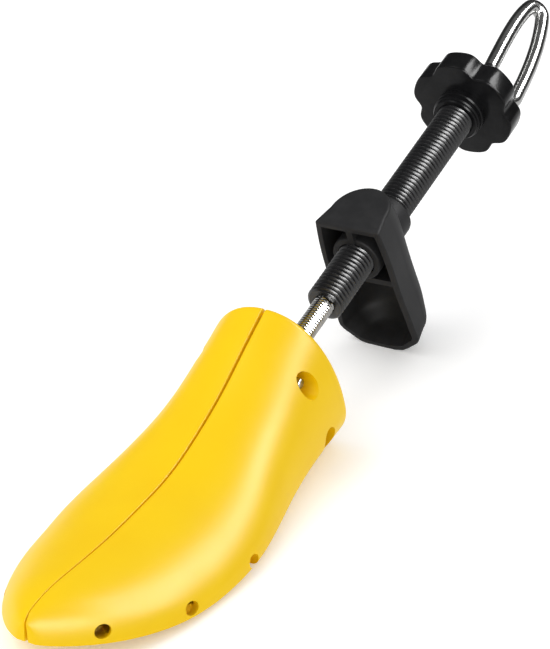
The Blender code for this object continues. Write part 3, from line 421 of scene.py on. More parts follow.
def smooth_table(table, share):
    """The value of a table of shares at a share of the length, on a curve with no breaks in its bend."""
    places, values = np.array(table).T
    count = len(places)
    spans = np.diff(places)
    rises = np.diff(values) / spans
    system = np.zeros((count, count))
    known = np.zeros(count)
    system[0, 0] = system[-1, -1] = 1.0
    known[0], known[-1] = rises[0], rises[-1]
    for i in range(1, count - 1):
        system[i, i - 1 : i + 2] = spans[i], 2 * (spans[i - 1] + spans[i]), spans[i - 1]
        known[i] = 3 * (spans[i] * rises[i - 1] + spans[i - 1] * rises[i])
    slopes = np.linalg.solve(system, known)
    index = int(np.clip(np.searchsorted(places, share) - 1, 0, count - 2))
    span = spans[index]
    t = (share - places[index]) / span
    return float(
        (2 * t**3 - 3 * t**2 + 1) * values[index]
        + (t**3 - 2 * t**2 + t) * span * slopes[index]
        + (3 * t**2 - 2 * t**3) * values[index + 1]
        + (t**3 - t**2) * span * slopes[index + 1]
    )


def skin(name, rings):
    """A closed body through rings of points: a sheet shaped round them, its meeting edges merged, its ends
    filled."""
    rows, count = len(rings), len(rings[0])
    fresh()
    bpy.ops.mesh.primitive_grid_add(x_subdivisions=count, y_subdivisions=rows - 1, size=1.0)
    obj = settled(name)
    start = np.array([vertex.co for vertex in obj.data.vertices])
    order = np.lexsort((start[:, 0], np.round(start[:, 1], 6)))
    placed = np.zeros_like(start)
    for index, vertex in enumerate(order):
        row, column = divmod(index, count + 1)
        placed[vertex] = rings[row][column % count]
    obj.data.vertices.foreach_set("co", placed.astype(np.float32).ravel())
    obj.data.update()
    with editing(obj):
        bpy.ops.mesh.remove_doubles(threshold=MERGE)
        bpy.ops.mesh.fill_holes(sides=0)
        turn_outward()
    return obj


def plate(name, outline, thickness, matrix):
    """A flat outline shaped from a circle and thickened evenly to both sides of its own plane."""
    fresh()
    bpy.ops.mesh.primitive_circle_add(vertices=len(outline), radius=1.0, fill_type="NGON")
    obj = settled(name)
    for vertex, (x, y) in zip(obj.data.vertices, outline):
        vertex.co = (x, y, -thickness / 2)
    with editing(obj):
        bpy.ops.mesh.extrude_region_move(TRANSFORM_OT_translate={"value": (0.0, 0.0, thickness)})
        turn_outward()
    return moved(obj, matrix)


def drawn(name, points):
    """A line of edges drawn point by point from one vertex, in the plane of X and Z."""
    fresh()
    bpy.ops.mesh.primitive_plane_add(size=0.001)
    obj = settled(name)
    bpy.ops.object.mode_set(mode="EDIT")
    bpy.ops.mesh.select_mode(type="VERT")
    bpy.ops.mesh.select_all(action="SELECT")
    bpy.ops.mesh.merge(type="CENTER")
    bpy.ops.transform.translate(value=(points[0][0], 0.0, points[0][1]))
    for before, after in zip(points, points[1:]):
        step = (after[0] - before[0], 0.0, after[1] - before[1])
        bpy.ops.mesh.extrude_region_move(TRANSFORM_OT_translate={"value": step})
    bpy.ops.object.mode_set(mode="OBJECT")
    return obj


def turned(name, profile, steps=64):
    """A turned piece on the rod's line: radii and places drawn as a closed profile, spun round the axis."""
    obj = drawn(name, [*profile, profile[0]])
    with editing(obj):
        bpy.ops.mesh.spin(steps=steps, angle=2 * math.pi, center=(0.0, 0.0, 0.0), axis=(0.0, 0.0, 1.0))
    return moved(mend(obj), ROD)


def ring(name, bore, radius, place, edge):
    low, high = place
    return soften(turned(name, [(bore, low), (radius, low), (radius, high), (bore, high)]), edge)


def pinned_collar(name, node, pin_name, pin_node, low, bore, radius, pin_half):
    """A turned collar with its pin across it, both on the rod's body. Returns the pin's frame."""
    rim, high = COLLAR_CHAMFER, low + COLLAR_LENGTH
    collar = turned(name, [
        (bore, low), (radius - rim, low), (radius, low + rim),
        (radius, high - rim), (radius - rim, high), (bore, high),
    ])
    place = upright_at(rod_point(0.0, 0.0, low + COLLAR_LENGTH / 2))
    cut(collar, small_hole(place))
    small_pin(pin_name, pin_half, place, "width_screw", pin_node)
    finish(collar, "width_screw", node, "zinc_steel")
    return place


def screwed(name, root, crest, pitch, low, high, chamfer, steps):
    """A solid bar on the rod's line with a real helical thread, its ends cut flat and chamfered."""
    root_flat, crest_flat = pitch / 4, pitch / 8
    flank = (pitch - root_flat - crest_flat) / 2
    soft = crest_flat / 3
    rise = root_flat + flank
    profile = [
        (root, 0.0), (root, root_flat), (crest - soft, rise - soft / 2), (crest, rise + soft),
        (crest, rise + crest_flat - soft), (crest - soft, rise + crest_flat + soft / 2), (root, pitch),
    ]
    obj = drawn(name, [(r, low - 1.5 * pitch + z) for r, z in profile])
    screw = obj.modifiers.new("thread", "SCREW")
    screw.axis = "Z"
    screw.steps = screw.render_steps = steps
    screw.iterations = math.ceil((high - low) / pitch) + 3
    screw.screw_offset = pitch
    apply(obj, screw)
    with editing(obj):
        bpy.ops.mesh.remove_doubles(threshold=2 * MERGE)
        for height, side in ((low, -1.0), (high, 1.0)):
            bpy.ops.mesh.select_all(action="SELECT")
            bpy.ops.mesh.bisect(
                plane_co=(0.0, 0.0, height), plane_no=(0.0, 0.0, side),
                use_fill=True, clear_outer=True, clear_inner=False,
            )
        turn_outward()
    blank = bar("blank", crest + BLANK_ROOM, low - BLANK_ROOM / 2, high + BLANK_ROOM / 2, None, 64)
    combine(obj, [soften(blank, chamfer, 1)], "INTERSECT")
    return moved(obj, ROD)


# Materials.


def add(tree, kind, settings=None, **links):
    """Adds one node, with its settings and with its named inputs set or linked."""
    node = tree.nodes.new(kind)
    for key, value in (settings or {}).items():
        setattr(node, key, value)
    for key, value in links.items():
        by_index = key[0] == "i" and key[1:].isdigit()
        socket = node.inputs[int(key[1:]) if by_index else key.replace("_", " ")]
        if isinstance(value, bpy.types.NodeSocket):
            tree.links.new(value, socket)
        else:
            socket.default_value = value
    return node


def rgba(code):
    """An sRGB hex colour as the linear colour that Blender's sockets hold."""
    shares = [int(code[i : i + 2], 16) / 255 for i in (0, 2, 4)]
    return (*(s / 12.92 if s <= 0.04045 else ((s + 0.055) / 1.055) ** 2.4 for s in shares), 1.0)


def blank_material(name, colour):
    made = bpy.data.materials.new(name)
    made.use_nodes = True
    made.diffuse_color = rgba(colour)
    return made, made.node_tree, made.node_tree.nodes["Principled BSDF"]


def object_place(tree):
    return add(tree, "ShaderNodeTexCoord").outputs["Object"]


def noise(tree, where, scale, detail, roughness=0.5):
    """A cloudy pattern, with its scale in cells a metre."""
    node = add(tree, "ShaderNodeTexNoise", Vector=where, Scale=scale, Detail=detail, Roughness=roughness)
    return node.outputs["Fac"]


def tint(tree, shader, pattern, colours, edges):
    """Runs the base colour from one hex colour to another between two values of a pattern."""
    ramp = add(tree, "ShaderNodeValToRGB", Fac=pattern)
    for element, edge, code in zip(ramp.color_ramp.elements, edges, colours):
        element.position = edge
        element.color = rgba(code)
    tree.links.new(ramp.outputs["Color"], shader.inputs["Base Color"])


def rub(tree, shader, pattern, low, high):
    """Runs the roughness from one value to another over a pattern."""
    shine = add(tree, "ShaderNodeMapRange", Value=pattern, To_Min=low, To_Max=high)
    tree.links.new(shine.outputs["Result"], shader.inputs["Roughness"])


def emboss(tree, shader, *layers):
    """Lays patterns over each other as relief, each with its strength and its depth in metres."""
    normal = {}
    for height, strength, depth in layers:
        bump = add(tree, "ShaderNodeBump", Height=height, Strength=strength, Distance=depth, **normal)
        normal = {"Normal": bump.outputs["Normal"]}
    tree.links.new(normal["Normal"], shader.inputs["Normal"])


def moulded_yellow():
    """Injection-moulded glossy polypropylene, dyed through: a warm even yellow with a soft wide shine, a
    faint cloudiness of the dye, and the very slight ripple of a polished mould."""
    looks = bpy.context.scene.stretcher_form
    made, tree, shader = blank_material("moulded_polypropylene_yellow", looks.yellow)
    where = object_place(tree)
    tint(tree, shader, noise(tree, where, 38.0, 3.0, 0.55), (looks.yellow_deep, looks.yellow), (0.32, 0.62))
    rub(tree, shader, noise(tree, where, 140.0, 4.0, 0.6), 0.32, 0.40)
    # A ripple about 6 mm long, under a grain of about 0.4 mm.
    ripple, grain = noise(tree, where, 160.0, 1.0), noise(tree, where, 2500.0, 2.0)
    emboss(tree, shader, (ripple, 0.06, 0.0006), (grain, 0.05, 0.0001))
    shader.inputs["IOR"].default_value = 1.49
    shader.inputs["Specular IOR Level"].default_value = 0.15
    return made


def moulded_black(name, colour, pale, low_rough, high_rough, gloss):
    """Injection-moulded nylon, coloured black: a charcoal satin, a little paler and duller where it is
    rubbed, with a fine moulded grain."""
    made, tree, shader = blank_material(name, colour)
    where = object_place(tree)
    rubbed = noise(tree, where, 170.0, 5.0, 0.62)
    tint(tree, shader, rubbed, (colour, pale), (0.40, 0.78))
    rub(tree, shader, rubbed, low_rough, high_rough)
    # The spark-eroded mould leaves a grain of about half a millimetre.
    emboss(tree, shader, (noise(tree, where, 2000.0, 3.0), 0.18, 0.0001))
    shader.inputs["IOR"].default_value = 1.53
    shader.inputs["Specular IOR Level"].default_value = gloss
    return made


def polished_steel():
    """Nickel-plated steel wire and pins, drawn and polished: bright, with faint lines along the draw."""
    looks = bpy.context.scene.stretcher_screw
    made, tree, shader = blank_material("polished_nickel_steel", looks.steel)
    where = object_place(tree)
    along_rod = (math.pi / 2 - ROD_CLIMB, 0.0, 0.0)
    turn = add(tree, "ShaderNodeMapping", Vector=where, Rotation=along_rod).outputs["Vector"]
    stretch = add(tree, "ShaderNodeMapping", Vector=turn, Scale=(1.0, 1.0, 0.03)).outputs["Vector"]
    film = noise(tree, where, 220.0, 4.0)
    tint(tree, shader, film, (looks.steel_dull, looks.steel), (0.35, 0.60))
    rub(tree, shader, film, 0.13, 0.19)
    emboss(tree, shader, (noise(tree, stretch, 2600.0, 3.0), 0.03, 0.0001))
    shader.inputs["Metallic"].default_value = 1.0
    return made


def zinc_plate():
    """Turned and cut mild steel under bright zinc: greyer and softer than nickel, with a faint cloudy
    passivation."""
    looks = bpy.context.scene.stretcher_screw
    made, tree, shader = blank_material("zinc_plated_steel", looks.zinc)
    where = object_place(tree)
    cloud = noise(tree, where, 420.0, 4.0, 0.6)
    tint(tree, shader, cloud, (looks.zinc, looks.zinc_warm), (0.35, 0.70))
    rub(tree, shader, cloud, 0.28, 0.42)
    # Tool marks, about 0.3 mm apart.
    emboss(tree, shader, (noise(tree, where, 3200.0, 2.0), 0.12, 0.0001))
    shader.inputs["Metallic"].default_value = 1.0
    return made


def knob_black():
    black = bpy.context.scene.stretcher_black
    return moulded_black("moulded_nylon_black", black.black, black.rubbed, 0.18, 0.26, 0.09)


def heel_black():
    black = bpy.context.scene.stretcher_black
    return moulded_black("moulded_nylon_satin", black.heel, black.heel_rubbed, 0.46, 0.58, 0.06)


def tube_black():
    black = bpy.context.scene.stretcher_black
    return moulded_black("moulded_nylon_thread", black.tube, black.rubbed, 0.24, 0.32, 0.42)


MAKERS = {
    "yellow_plastic": moulded_yellow,
    "black_plastic": knob_black,
    "black_heel": heel_black,
    "black_tube": tube_black,
    "bright_steel": polished_steel,
    "zinc_steel": zinc_plate,
}
SURFACES = {}


def surface(look):
    """One of the part's finishes, made once."""
    if look not in SURFACES:
        SURFACES[look] = MAKERS[look]()
    return SURFACES[look]


# The form.


def quarter_drop(distance, radius):
    """How far a quarter-round edge falls back, this far in from its end."""
    if distance >= radius:
        return 0.0
    return radius - math.sqrt(max(radius**2 - (radius - distance) ** 2, 0.0))


def toe_rise(distance):
    return TOE_LIFT * max(1.0 - distance / TOE_LIFT_LENGTH, 0.0) ** 2


def seam_half(distance):
    """Half the gap between the two halves at the crown and at the sole. It closes to a hairline at the toe,
    with room there for the swing about the hinge, whose pin leans, so the sole needs more."""
    share = min(max(distance - HINGE_SETBACK, 0.0) / (FORM_LENGTH - HINGE_SETBACK), 1.0)
    even = SEAM_AT_TOE + (SEAM - SEAM_AT_TOE) * share**SEAM_CLOSING
    swing = math.tan(HALF_SPREAD)
    return [max(even, (HINGE_SETBACK + shift - distance) * swing + SEAM_SPARE) for shift in SEAM_SHIFTS]


def form_ring(distance, inset, seams, edge, steps):
    """World points of the right half's section at a distance behind the toe tip, from the sole round to the
    crown."""
    share = distance / FORM_LENGTH
    half_width = FORM_HALF_WIDTH * smooth_table(WIDTH_SHARES, share)
    half_width *= math.sqrt(1.0 - (1.0 - min(distance / TOE_ROUND_LENGTH, 1.0)) ** 2)
    height = FORM_HEIGHT * smooth_table(HEIGHT_SHARES, share)
    inset = inset + quarter_drop(FORM_LENGTH - distance, REAR_EDGE_ROUND)
    half_width -= inset
    low = inset
    high = height - inset - quarter_drop(distance, TOE_EDGE_ROUND)
    waist = low + (high - low) * float(np.interp(share, *zip(*WAIST_SHARES)))
    crown = CROWN_POWERS[0] + (CROWN_POWERS[1] - CROWN_POWERS[0]) * share
    lean = ROD_CLIMB * min(max((share - LEAN_START_SHARE) / (1.0 - LEAN_START_SHARE), 0.0), 1.0)
    flat = []
    for step in range(steps):
        angle = math.pi * (step / (steps - 1) - 0.5)
        power = 2.0 / (crown if angle >= 0.0 else SOLE_POWER)
        out = half_width * abs(math.cos(angle)) ** power
        rise = abs(math.sin(angle)) ** power
        up = waist + (high - waist) * rise if angle >= 0.0 else waist - (waist - low) * rise
        flat.append((max(out, seams[angle < 0.0] + edge), max(up, SOLE_TRIM) - SOLE_TRIM))
    top, bottom = flat[-1][1], flat[0][1]
    if edge:
        turns = [math.pi / 2 * i / 3 for i in range(4)]
        flat = (
            [(seams[1] + edge - edge * math.cos(t), bottom + edge - edge * math.sin(t)) for t in turns]
            + flat[1:-1]
            + [(seams[0] + edge - edge * math.sin(t), top - edge + edge * math.cos(t)) for t in turns]
        )
    else:
        flat[0], flat[-1] = (seams[1], bottom), (seams[0], top)
    lift = toe_rise(distance)
    return [Vector((x, TOE_Y + distance - z * math.tan(lean), z + lift)) for x, z in flat]


def form_places(start, end, count, rounding):
    """Distances behind the toe tip, close together at the toe, and through the rounded rear edge."""
    last = end - rounding
    places = [last * (1.0 - math.cos(math.pi / 2 * i / count)) for i in range(1, count + 1)]
    places = [place for place in places if place > start + 0.0001]
    if rounding:
        places += [last + rounding * math.sin(math.radians(7.5 * i)) for i in range(1, 13)]
    return [start] + places


def side_reach(distance, height):
    """The form's half width at a height, read from its section."""
    section = form_ring(distance, 0.0, (0.0, 0.0), 0.0, SIDE_POINTS)
    best = 0.0
    for first, second in zip(section, section[1:]):
        if min(first.z, second.z) <= height <= max(first.z, second.z) and first.z != second.z:
            t = (height - first.z) / (second.z - first.z)
            best = max(best, first.x + t * (second.x - first.x))
    return best


def sweep_outline(path, radius, steps=10):
    """The outline that a round pin sweeps along a path in its plane."""
    outline = []
    for points in (path, path[::-1]):
        for i, point in enumerate(points):
            before, after = points[max(i - 1, 0)], points[min(i + 1, len(points) - 1)]
            ahead = (after - before).normalized()
            outline.append(point + radius * Vector((ahead.y, -ahead.x)))
        end = (points[-1] - points[-2]).normalized()
        start = math.atan2(-end.x, end.y)
        for i in range(1, steps):
            angle = start + math.pi * i / steps
            outline.append(points[-1] + radius * Vector((math.cos(angle), math.sin(angle))))
    return [tuple(point) for point in outline]


def hinge_place():
    """The toe hinge's frame, the length of one knuckle, and the hinge's place along the rod."""
    tall = FORM_HEIGHT * smooth_table(HEIGHT_SHARES, HINGE_SETBACK / FORM_LENGTH)
    height = toe_rise(HINGE_SETBACK) + tall / 2
    y = TOE_Y + HINGE_SETBACK
    matrix = Matrix.Translation((0.0, y, height)) @ Matrix.Rotation(ROD_CLIMB, 4, "X")
    knuckle = (tall - 2 * HINGE_MARGIN) / 3 - FIT
    along = (y - STATION.y) * math.cos(ROD_CLIMB) + (height - STATION.z) * math.sin(ROD_CLIMB)
    return matrix, knuckle, along


def slot_route(hinge_along):
    """The crosshead pin's path in the right half, which turns about the toe as the crosshead slides."""
    path = []
    for i in range(9):
        turn = HALF_SPREAD * i / 8
        arm = CROSSHEAD_PLACE + CROSSHEAD_TRAVEL * i / 8 - hinge_along
        across = CROSSHEAD_PIN_OUT * math.cos(turn) - arm * math.sin(turn)
        along = CROSSHEAD_PIN_OUT * math.sin(turn) + arm * math.cos(turn) + hinge_along
        path.append(Vector((across, along)))
    return path


def model_cavity():
    """The half's hollow, less its ribs, the bosses for the cross pins and the shelves by the crosshead."""
    places = form_places(CAVITY_START, FORM_LENGTH - CAVITY_REAR_WALL, HOLLOW_SECTIONS, 0.0)
    across = (-OVERRUN, -OVERRUN)
    cavity = skin("cavity", [form_ring(place, FORM_WALL, across, 0.0, HOLLOW_POINTS) for place in places])
    outside = FORM_HALF_WIDTH + OVERRUN
    kept = []
    for share in RIB_SHARES:
        place = TOE_Y + share * FORM_LENGTH
        near = (SEAM + RIB_SETBACK, place - RIB_HALF, -OVERRUN)
        kept.append(block("rib", near, (outside, place + RIB_HALF, RIB_TOP)))
    for sign in (1.0, -1.0):
        middle = rod_point(0.0, sign * CROSS_PIN_RISE, BLOCK_PLACE)
        kept.append(bar("boss", BOSS_RADIUS, BOSS_START, BOSS_START + 2 * OVERRUN, across_at(middle)))
        near = rod_point(SHELF_START, sign * SHELF_RISE, CROSSHEAD_PLACE - SHELF_FRONT)
        far = rod_point(outside, sign * SHELF_TOP, CROSSHEAD_PLACE + CROSSHEAD_TRAVEL + SHELF_REAR)
        kept.append(block("shelf", near, far, ROD))
    return cut(cavity, *kept)


def model_half():
    """The right half: a lofted skin, hollowed, then drilled and slotted for its pins and the rod."""
    edge = bpy.context.scene.stretcher_form.seam_edge
    rings = []
    for place in form_places(SEAM, FORM_LENGTH, SECTIONS, REAR_EDGE_ROUND):
        local_edge = edge * (SEAM_EDGE_AT_TOE + SEAM_EDGE_GAIN * place / FORM_LENGTH)
        rings.append(form_ring(place, 0.0, seam_half(place), local_edge, SECTION_POINTS))
    half = skin("form_half", rings)
    cut(half, model_cavity())

    hinge, knuckle, hinge_along = hinge_place()
    arm = BLOCK_PLACE - hinge_along
    tip = CROSS_PIN_HALF * math.sin(HALF_SPREAD) + arm * math.cos(HALF_SPREAD)
    drift = [Vector((-BLOCK_PLACE, 0.0)), Vector((-hinge_along - tip, 0.0))]
    for sign in (1.0, -1.0):
        middle = rod_point(0.0, sign * CROSS_PIN_RISE, BLOCK_PLACE)
        oval = Matrix.Diagonal((WELL_OVAL, 1.0, 1.0, 1.0))
        well_frame = across_at(middle) @ oval
        well = bar("well", WELL_RADIUS, WELL_FLOOR, WELL_FLOOR + 2 * OVERRUN, well_frame, 64)
        guide_frame = across_at(rod_point(WELL_FLOOR, sign * CROSS_PIN_RISE, 0.0))
        cut(half, well, plate("guide", sweep_outline(drift, SLOT_HALF), 2 * WELL_FLOOR, guide_frame))
    slot_outline = sweep_outline(slot_route(hinge_along), SLOT_HALF)
    cut(half, plate("slot", slot_outline, SLOT_HEIGHT, ROD @ Matrix.Rotation(math.pi / 2, 4, "X")))
    rear = (FORM_LENGTH - TOE_SETBACK) * math.cos(ROD_CLIMB) - STATION.z * math.sin(ROD_CLIMB)
    cut(half, bar("way", WAY_RADIUS, rear - WAY_REACH, rear + WAY_REACH, ROD))
    return half, hinge, knuckle


def bore_pits(half, side):
    """Three oval pits low on a half's side, bored tilted a little down into the wall."""
    for index, (share, height, turn, depth) in enumerate(PITS):
        distance = share * FORM_LENGTH
        if side < 0 and index == 0:
            # The camera sees nothing of this one, past the toe's left edge.
            distance, height = distance + LEFT_PIT_BACK, height - LEFT_PIT_DROP
        level = math.cos(PIT_TILT)
        outward = Vector((side * math.cos(turn) * level, -math.sin(turn) * level, math.sin(PIT_TILT)))
        mouth = Vector((side * side_reach(distance, height), TOE_Y + distance, height))
        matrix = Matrix.Translation(mouth) @ outward.to_track_quat("Z", "Y").to_matrix().to_4x4()
        oval = Matrix.Diagonal((*PIT_OVAL, 1.0, 1.0))
        cut(half, bar("pit", PIT_RADIUS, -depth, OVERRUN, matrix @ oval, 40))


def knuckles(half, side, hinge, knuckle):
    """The hinge's knuckles, the middle one on the right half and two on the left, and their bore."""
    pitch = knuckle + FIT
    for index in (-1, 0, 1):
        middle = index * pitch
        if (index == 0) == (side > 0):
            reach = knuckle / 2
            join(half, bar("knuckle", KNUCKLE_RADIUS, middle - reach, middle + reach, hinge, 32))
        else:
            reach = (pitch + FIT) / 2
            cut(half, bar("pocket", POCKET_RADIUS, middle - reach, middle + reach, hinge, 32))
    long = 1.5 * knuckle + 2 * FIT
    cut(half, bar("bore", SMALL_PIN_HOLE, -long, long, hinge, 24))


class STRETCHER_OT_form(bpy.types.Operator):
    """Model the two half forms, split along the seam and hinged at the toe"""

    bl_idname = "stretcher.form"
    bl_label = "Half forms"

    def execute(self, context):
        half, hinge, knuckle = model_half()
        left = half.copy()
        left.data = half.data.copy()
        context.scene.collection.objects.link(left)
        pick(left)
        left.scale.x = -1.0
        bpy.ops.object.transform_apply(location=True, rotation=True, scale=True)
        mend(left)
        for obj, side, word in ((half, 1.0, "right"), (left, -1.0, "left")):
            obj.name = obj.data.name = f"yellow_half_{word}"
            bore_pits(obj, side)
            knuckles(obj, side, hinge, knuckle)
            finish(obj, f"{word}_half", f"form_half_{word}", "yellow_plastic")
        return {"FINISHED"}


# The thrust block, the crosshead and the pins.


def bored_piece(name, halves, place):
    """A soft-edged block on the rod, from half its width, height and length, with the rod's bore in it."""
    wide, tall, long = halves
    near, far = rod_point(-wide, -tall, place - long), rod_point(wide, tall, place + long)
    made = soften(block(name, near, far, ROD), PIECE_EDGE, 3)
    return cut(made, bar("bore", ROD_BORE, place - CUT_REACH, place + CUT_REACH, ROD))


class STRETCHER_OT_spreader(bpy.types.Operator):
    """Model the thrust block, its cross pins, the toe pin and the crosshead with its pins"""

    bl_idname = "stretcher.spreader"
    bl_label = "Thrust block and crosshead"

    def execute(self, context):
        middle = bored_piece("thrust_piece", BLOCK_HALVES, BLOCK_PLACE)
        for sign, word in ((1.0, "upper"), (-1.0, "lower")):
            place = across_at(rod_point(0.0, sign * CROSS_PIN_RISE, BLOCK_PLACE))
            cut(middle, bar("hole", PIN_HOLE, -CUT_REACH, CUT_REACH, place))
            pin = bar(f"steel_cross_pin_{word}", PIN_RADIUS, -CROSS_PIN_HALF, CROSS_PIN_HALF, place, 40)
            finish(soften(pin, CROSS_PIN_EDGE, 3), "spreader", f"cross_pin_{word}", "bright_steel")
        finish(middle, "spreader", "thrust_block", "zinc_steel")

        hinge, knuckle, _ = hinge_place()
        small_pin("steel_toe_pin", 1.5 * knuckle + FIT, hinge, "spreader", "toe_hinge_pin")

        head = bored_piece("crosshead_piece", CROSSHEAD_HALVES, CROSSHEAD_PLACE)
        for side, word in ((1.0, "right"), (-1.0, "left")):
            place = upright_at(rod_point(side * CROSSHEAD_PIN_OUT, 0.0, CROSSHEAD_PLACE))
            cut(head, bar("hole", PIN_HOLE, -OVERRUN, OVERRUN, place))
            half = CROSSHEAD_PIN_HALF
            pin = bar(f"steel_crosshead_pin_{word}", PIN_RADIUS, -half, half, place, 40)
            finish(soften(pin, CROSSHEAD_PIN_EDGE), "crosshead", f"crosshead_pin_{word}", "bright_steel")
        finish(head, "crosshead", "crosshead_nut", "zinc_steel")
        return {"FINISHED"}


# The threaded rod and the hook.


class STRETCHER_OT_width_screw(bpy.types.Operator):
    """Model the threaded rod, its nut and collars, and the hook handle"""

    bl_idname = "stretcher.width_screw"
    bl_label = "Threaded rod and hook"

    def execute(self, context):
        sizes = context.scene.stretcher_screw
        rod = screwed("steel_threaded_rod", sizes.rod_radius - ROD_THREAD_DEPTH, sizes.rod_radius,
                      sizes.rod_pitch, ROD_START, ROD_END, ROD_CHAMFER, 40)
        cut(rod, bar("socket", PIN_HOLE, SOCKET_FLOOR, PAST_ROD, ROD))
        half = sizes.rod_radius - sizes.flat_depth
        flat_frame = ROD @ Matrix.Rotation(math.radians(sizes.flat_turn), 4, "Z")
        near = (-CUT_REACH, half, FLAT_START)
        cut(rod, block("flat", near, (CUT_REACH, half + CUT_REACH, PAST_ROD), flat_frame))
        for word, low in COLLAR_PLACES:
            place = pinned_collar(
                f"zinc_collar_{word}", f"thrust_collar_{word}",
                f"steel_collar_pin_{word}", f"collar_pin_{word}",
                low, ROD_BORE, COLLAR_RADIUS, COLLAR_PIN_HALF,
            )
            cut(rod, small_hole(place))
        finish(rod, "width_screw", "threaded_rod", "bright_steel")

        nut = soften(hexagon("zinc_stop_nut", NUT_HALF, *NUT_PLACE), NUT_EDGE)
        cut(nut, bar("bore", ROD_BORE, *NUT_BORE_PLACE, ROD))
        finish(nut, "width_screw", "stop_nut", "zinc_steel")

        finish(model_hook(), "width_screw", "hook_handle", "bright_steel")
        return {"FINISHED"}


def rounded_corner(before, corner, after, radius, steps):
    back = (before - corner).normalized()
    on = (after - corner).normalized()
    half = back.angle(on) / 2
    reach = radius / math.tan(half)
    centre = corner + (back + on).normalized() * radius / math.sin(half)
    start = corner + back * reach - centre
    end = corner + on * reach - centre
    return [centre + start.slerp(end, i / steps).normalized() * radius for i in range(steps + 1)]


def hook_route():
    """The handle's centre line in its own plane, out from the axis and along the rod."""

    def flat(out, along):
        return Vector((out, 0.0, along))

    centre = flat(*EYE_MIDDLE)
    points = [flat(*place) for place in (HOOK_START, HOOK_STRAIGHT, HOOK_LEAVE)]
    # Out of the knob the wire bows away from the axis, and leans back over it into the eye.
    leave, rise = points[-1], flat(*HOOK_BOW)
    arrive = centre + EYE_RADIUS * flat(-math.cos(EYE_LEAN), math.sin(EYE_LEAN))
    lead = arrive - EYE_LEAD * flat(math.sin(EYE_LEAN), math.cos(EYE_LEAN))
    for i in range(1, 17):
        t = i / 16
        out, bow = leave * (1.0 - t) ** 3, rise * 3 * t * (1.0 - t) ** 2
        points.append(out + bow + lead * 3 * t**2 * (1.0 - t) + arrive * t**3)
    # Round the eye, and down the returning leg to the foot, whose tip ends beside the first leg.
    for i in range(1, 25):
        angle = math.pi - EYE_LEAN + (EYE_END - math.pi + EYE_LEAN) * i / 24
        points.append(centre + EYE_RADIUS * flat(math.cos(angle), math.sin(angle)))
    top_end = points[-1]
    bend, leg = flat(*HOOK_BEND), flat(*HOOK_LEG)
    for i in range(1, 25):
        t = i / 24
        points.append(top_end * (1.0 - t) ** 2 + bend * 2 * t * (1.0 - t) + leg * t**2)
    tip = flat(*HOOK_TIP)
    return points + rounded_corner(leg, flat(*HOOK_FOOT), tip, FOOT_ROUND, 12) + [tip]


def model_hook():
    """One length of round wire, bent into an eye, with a narrow spigot that enters the rod."""
    route = hook_route()
    fresh()
    bpy.ops.curve.primitive_nurbs_path_add()
    guide = bpy.context.object
    guide.data.splines.clear()
    spline = guide.data.splines.new("POLY")
    spline.points.add(len(route) - 1)
    for point, place in zip(spline.points, route):
        point.co = (*place, 1.0)
    guide.data.bevel_depth = bpy.context.scene.stretcher_screw.wire_radius
    guide.data.bevel_resolution = 10
    guide.data.use_fill_caps = True
    guide.data.twist_mode = "MINIMUM"
    pick(guide)
    bpy.ops.object.convert(target="MESH")
    hook = moved(bpy.context.object, ROD @ Matrix.Rotation(HOOK_TURN, 4, "Z"))
    hook.name = hook.data.name = "steel_hook"
    mend(hook, 10 * MERGE)
    soften(hook, WIRE_EDGE, 2, math.radians(60.0))
    join(hook, bar("spigot", PIN_RADIUS, *SPIGOT_PLACE, ROD))
    return cut(hook, small_hole(upright_at(rod_point(0.0, 0.0, HOOK_PIN_PLACE))))


# The tube, the knob and the stop.


class STRETCHER_OT_length_screw(bpy.types.Operator):
    """Model the threaded tube, the lobed knob and its retainer, and the stop behind it"""

    bl_idname = "stretcher.length_screw"
    bl_label = "Threaded tube and knob"

    def execute(self, context):
        sizes = context.scene.stretcher_screw
        tube = screwed("black_threaded_tube", sizes.tube_radius - TUBE_THREAD_DEPTH, sizes.tube_radius,
                       sizes.tube_pitch, TUBE_START, FLANGE_FRONT + FLANGE_LENGTH + FIT, TUBE_CHAMFER, 48)
        join(tube, hexagon("flange", FLANGE_HALF, FLANGE_FRONT, FLANGE_FRONT + FLANGE_LENGTH))
        wide = bar("wide", ROD_BORE, 0.0, TUBE_STEP, ROD)
        cut(tube, wide, bar("narrow", WIRE_BORE, 0.02, BEHIND_ALL, ROD))
        finish(tube, "length_screw", "threaded_tube", "black_tube")

        finish(model_knob(), "length_screw", "knob", "black_plastic")

        retainer = ring("black_retainer", WIRE_BORE, RETAINER_RADIUS, RETAINER_PLACE, RETAINER_EDGE)
        finish(retainer, "length_screw", "knob_retainer", "black_plastic")

        washer = ring("zinc_washer", WIRE_BORE, WASHER_RADIUS, WASHER_PLACE, WASHER_EDGE)
        finish(washer, "width_screw", "stop_washer", "zinc_steel")
        pinned_collar("zinc_stop_collar", "stop_collar", "steel_stop_pin", "stop_collar_pin",
                      STOP_PLACE, WIRE_BORE, STOP_RADIUS, STOP_PIN_HALF)
        return {"FINISHED"}


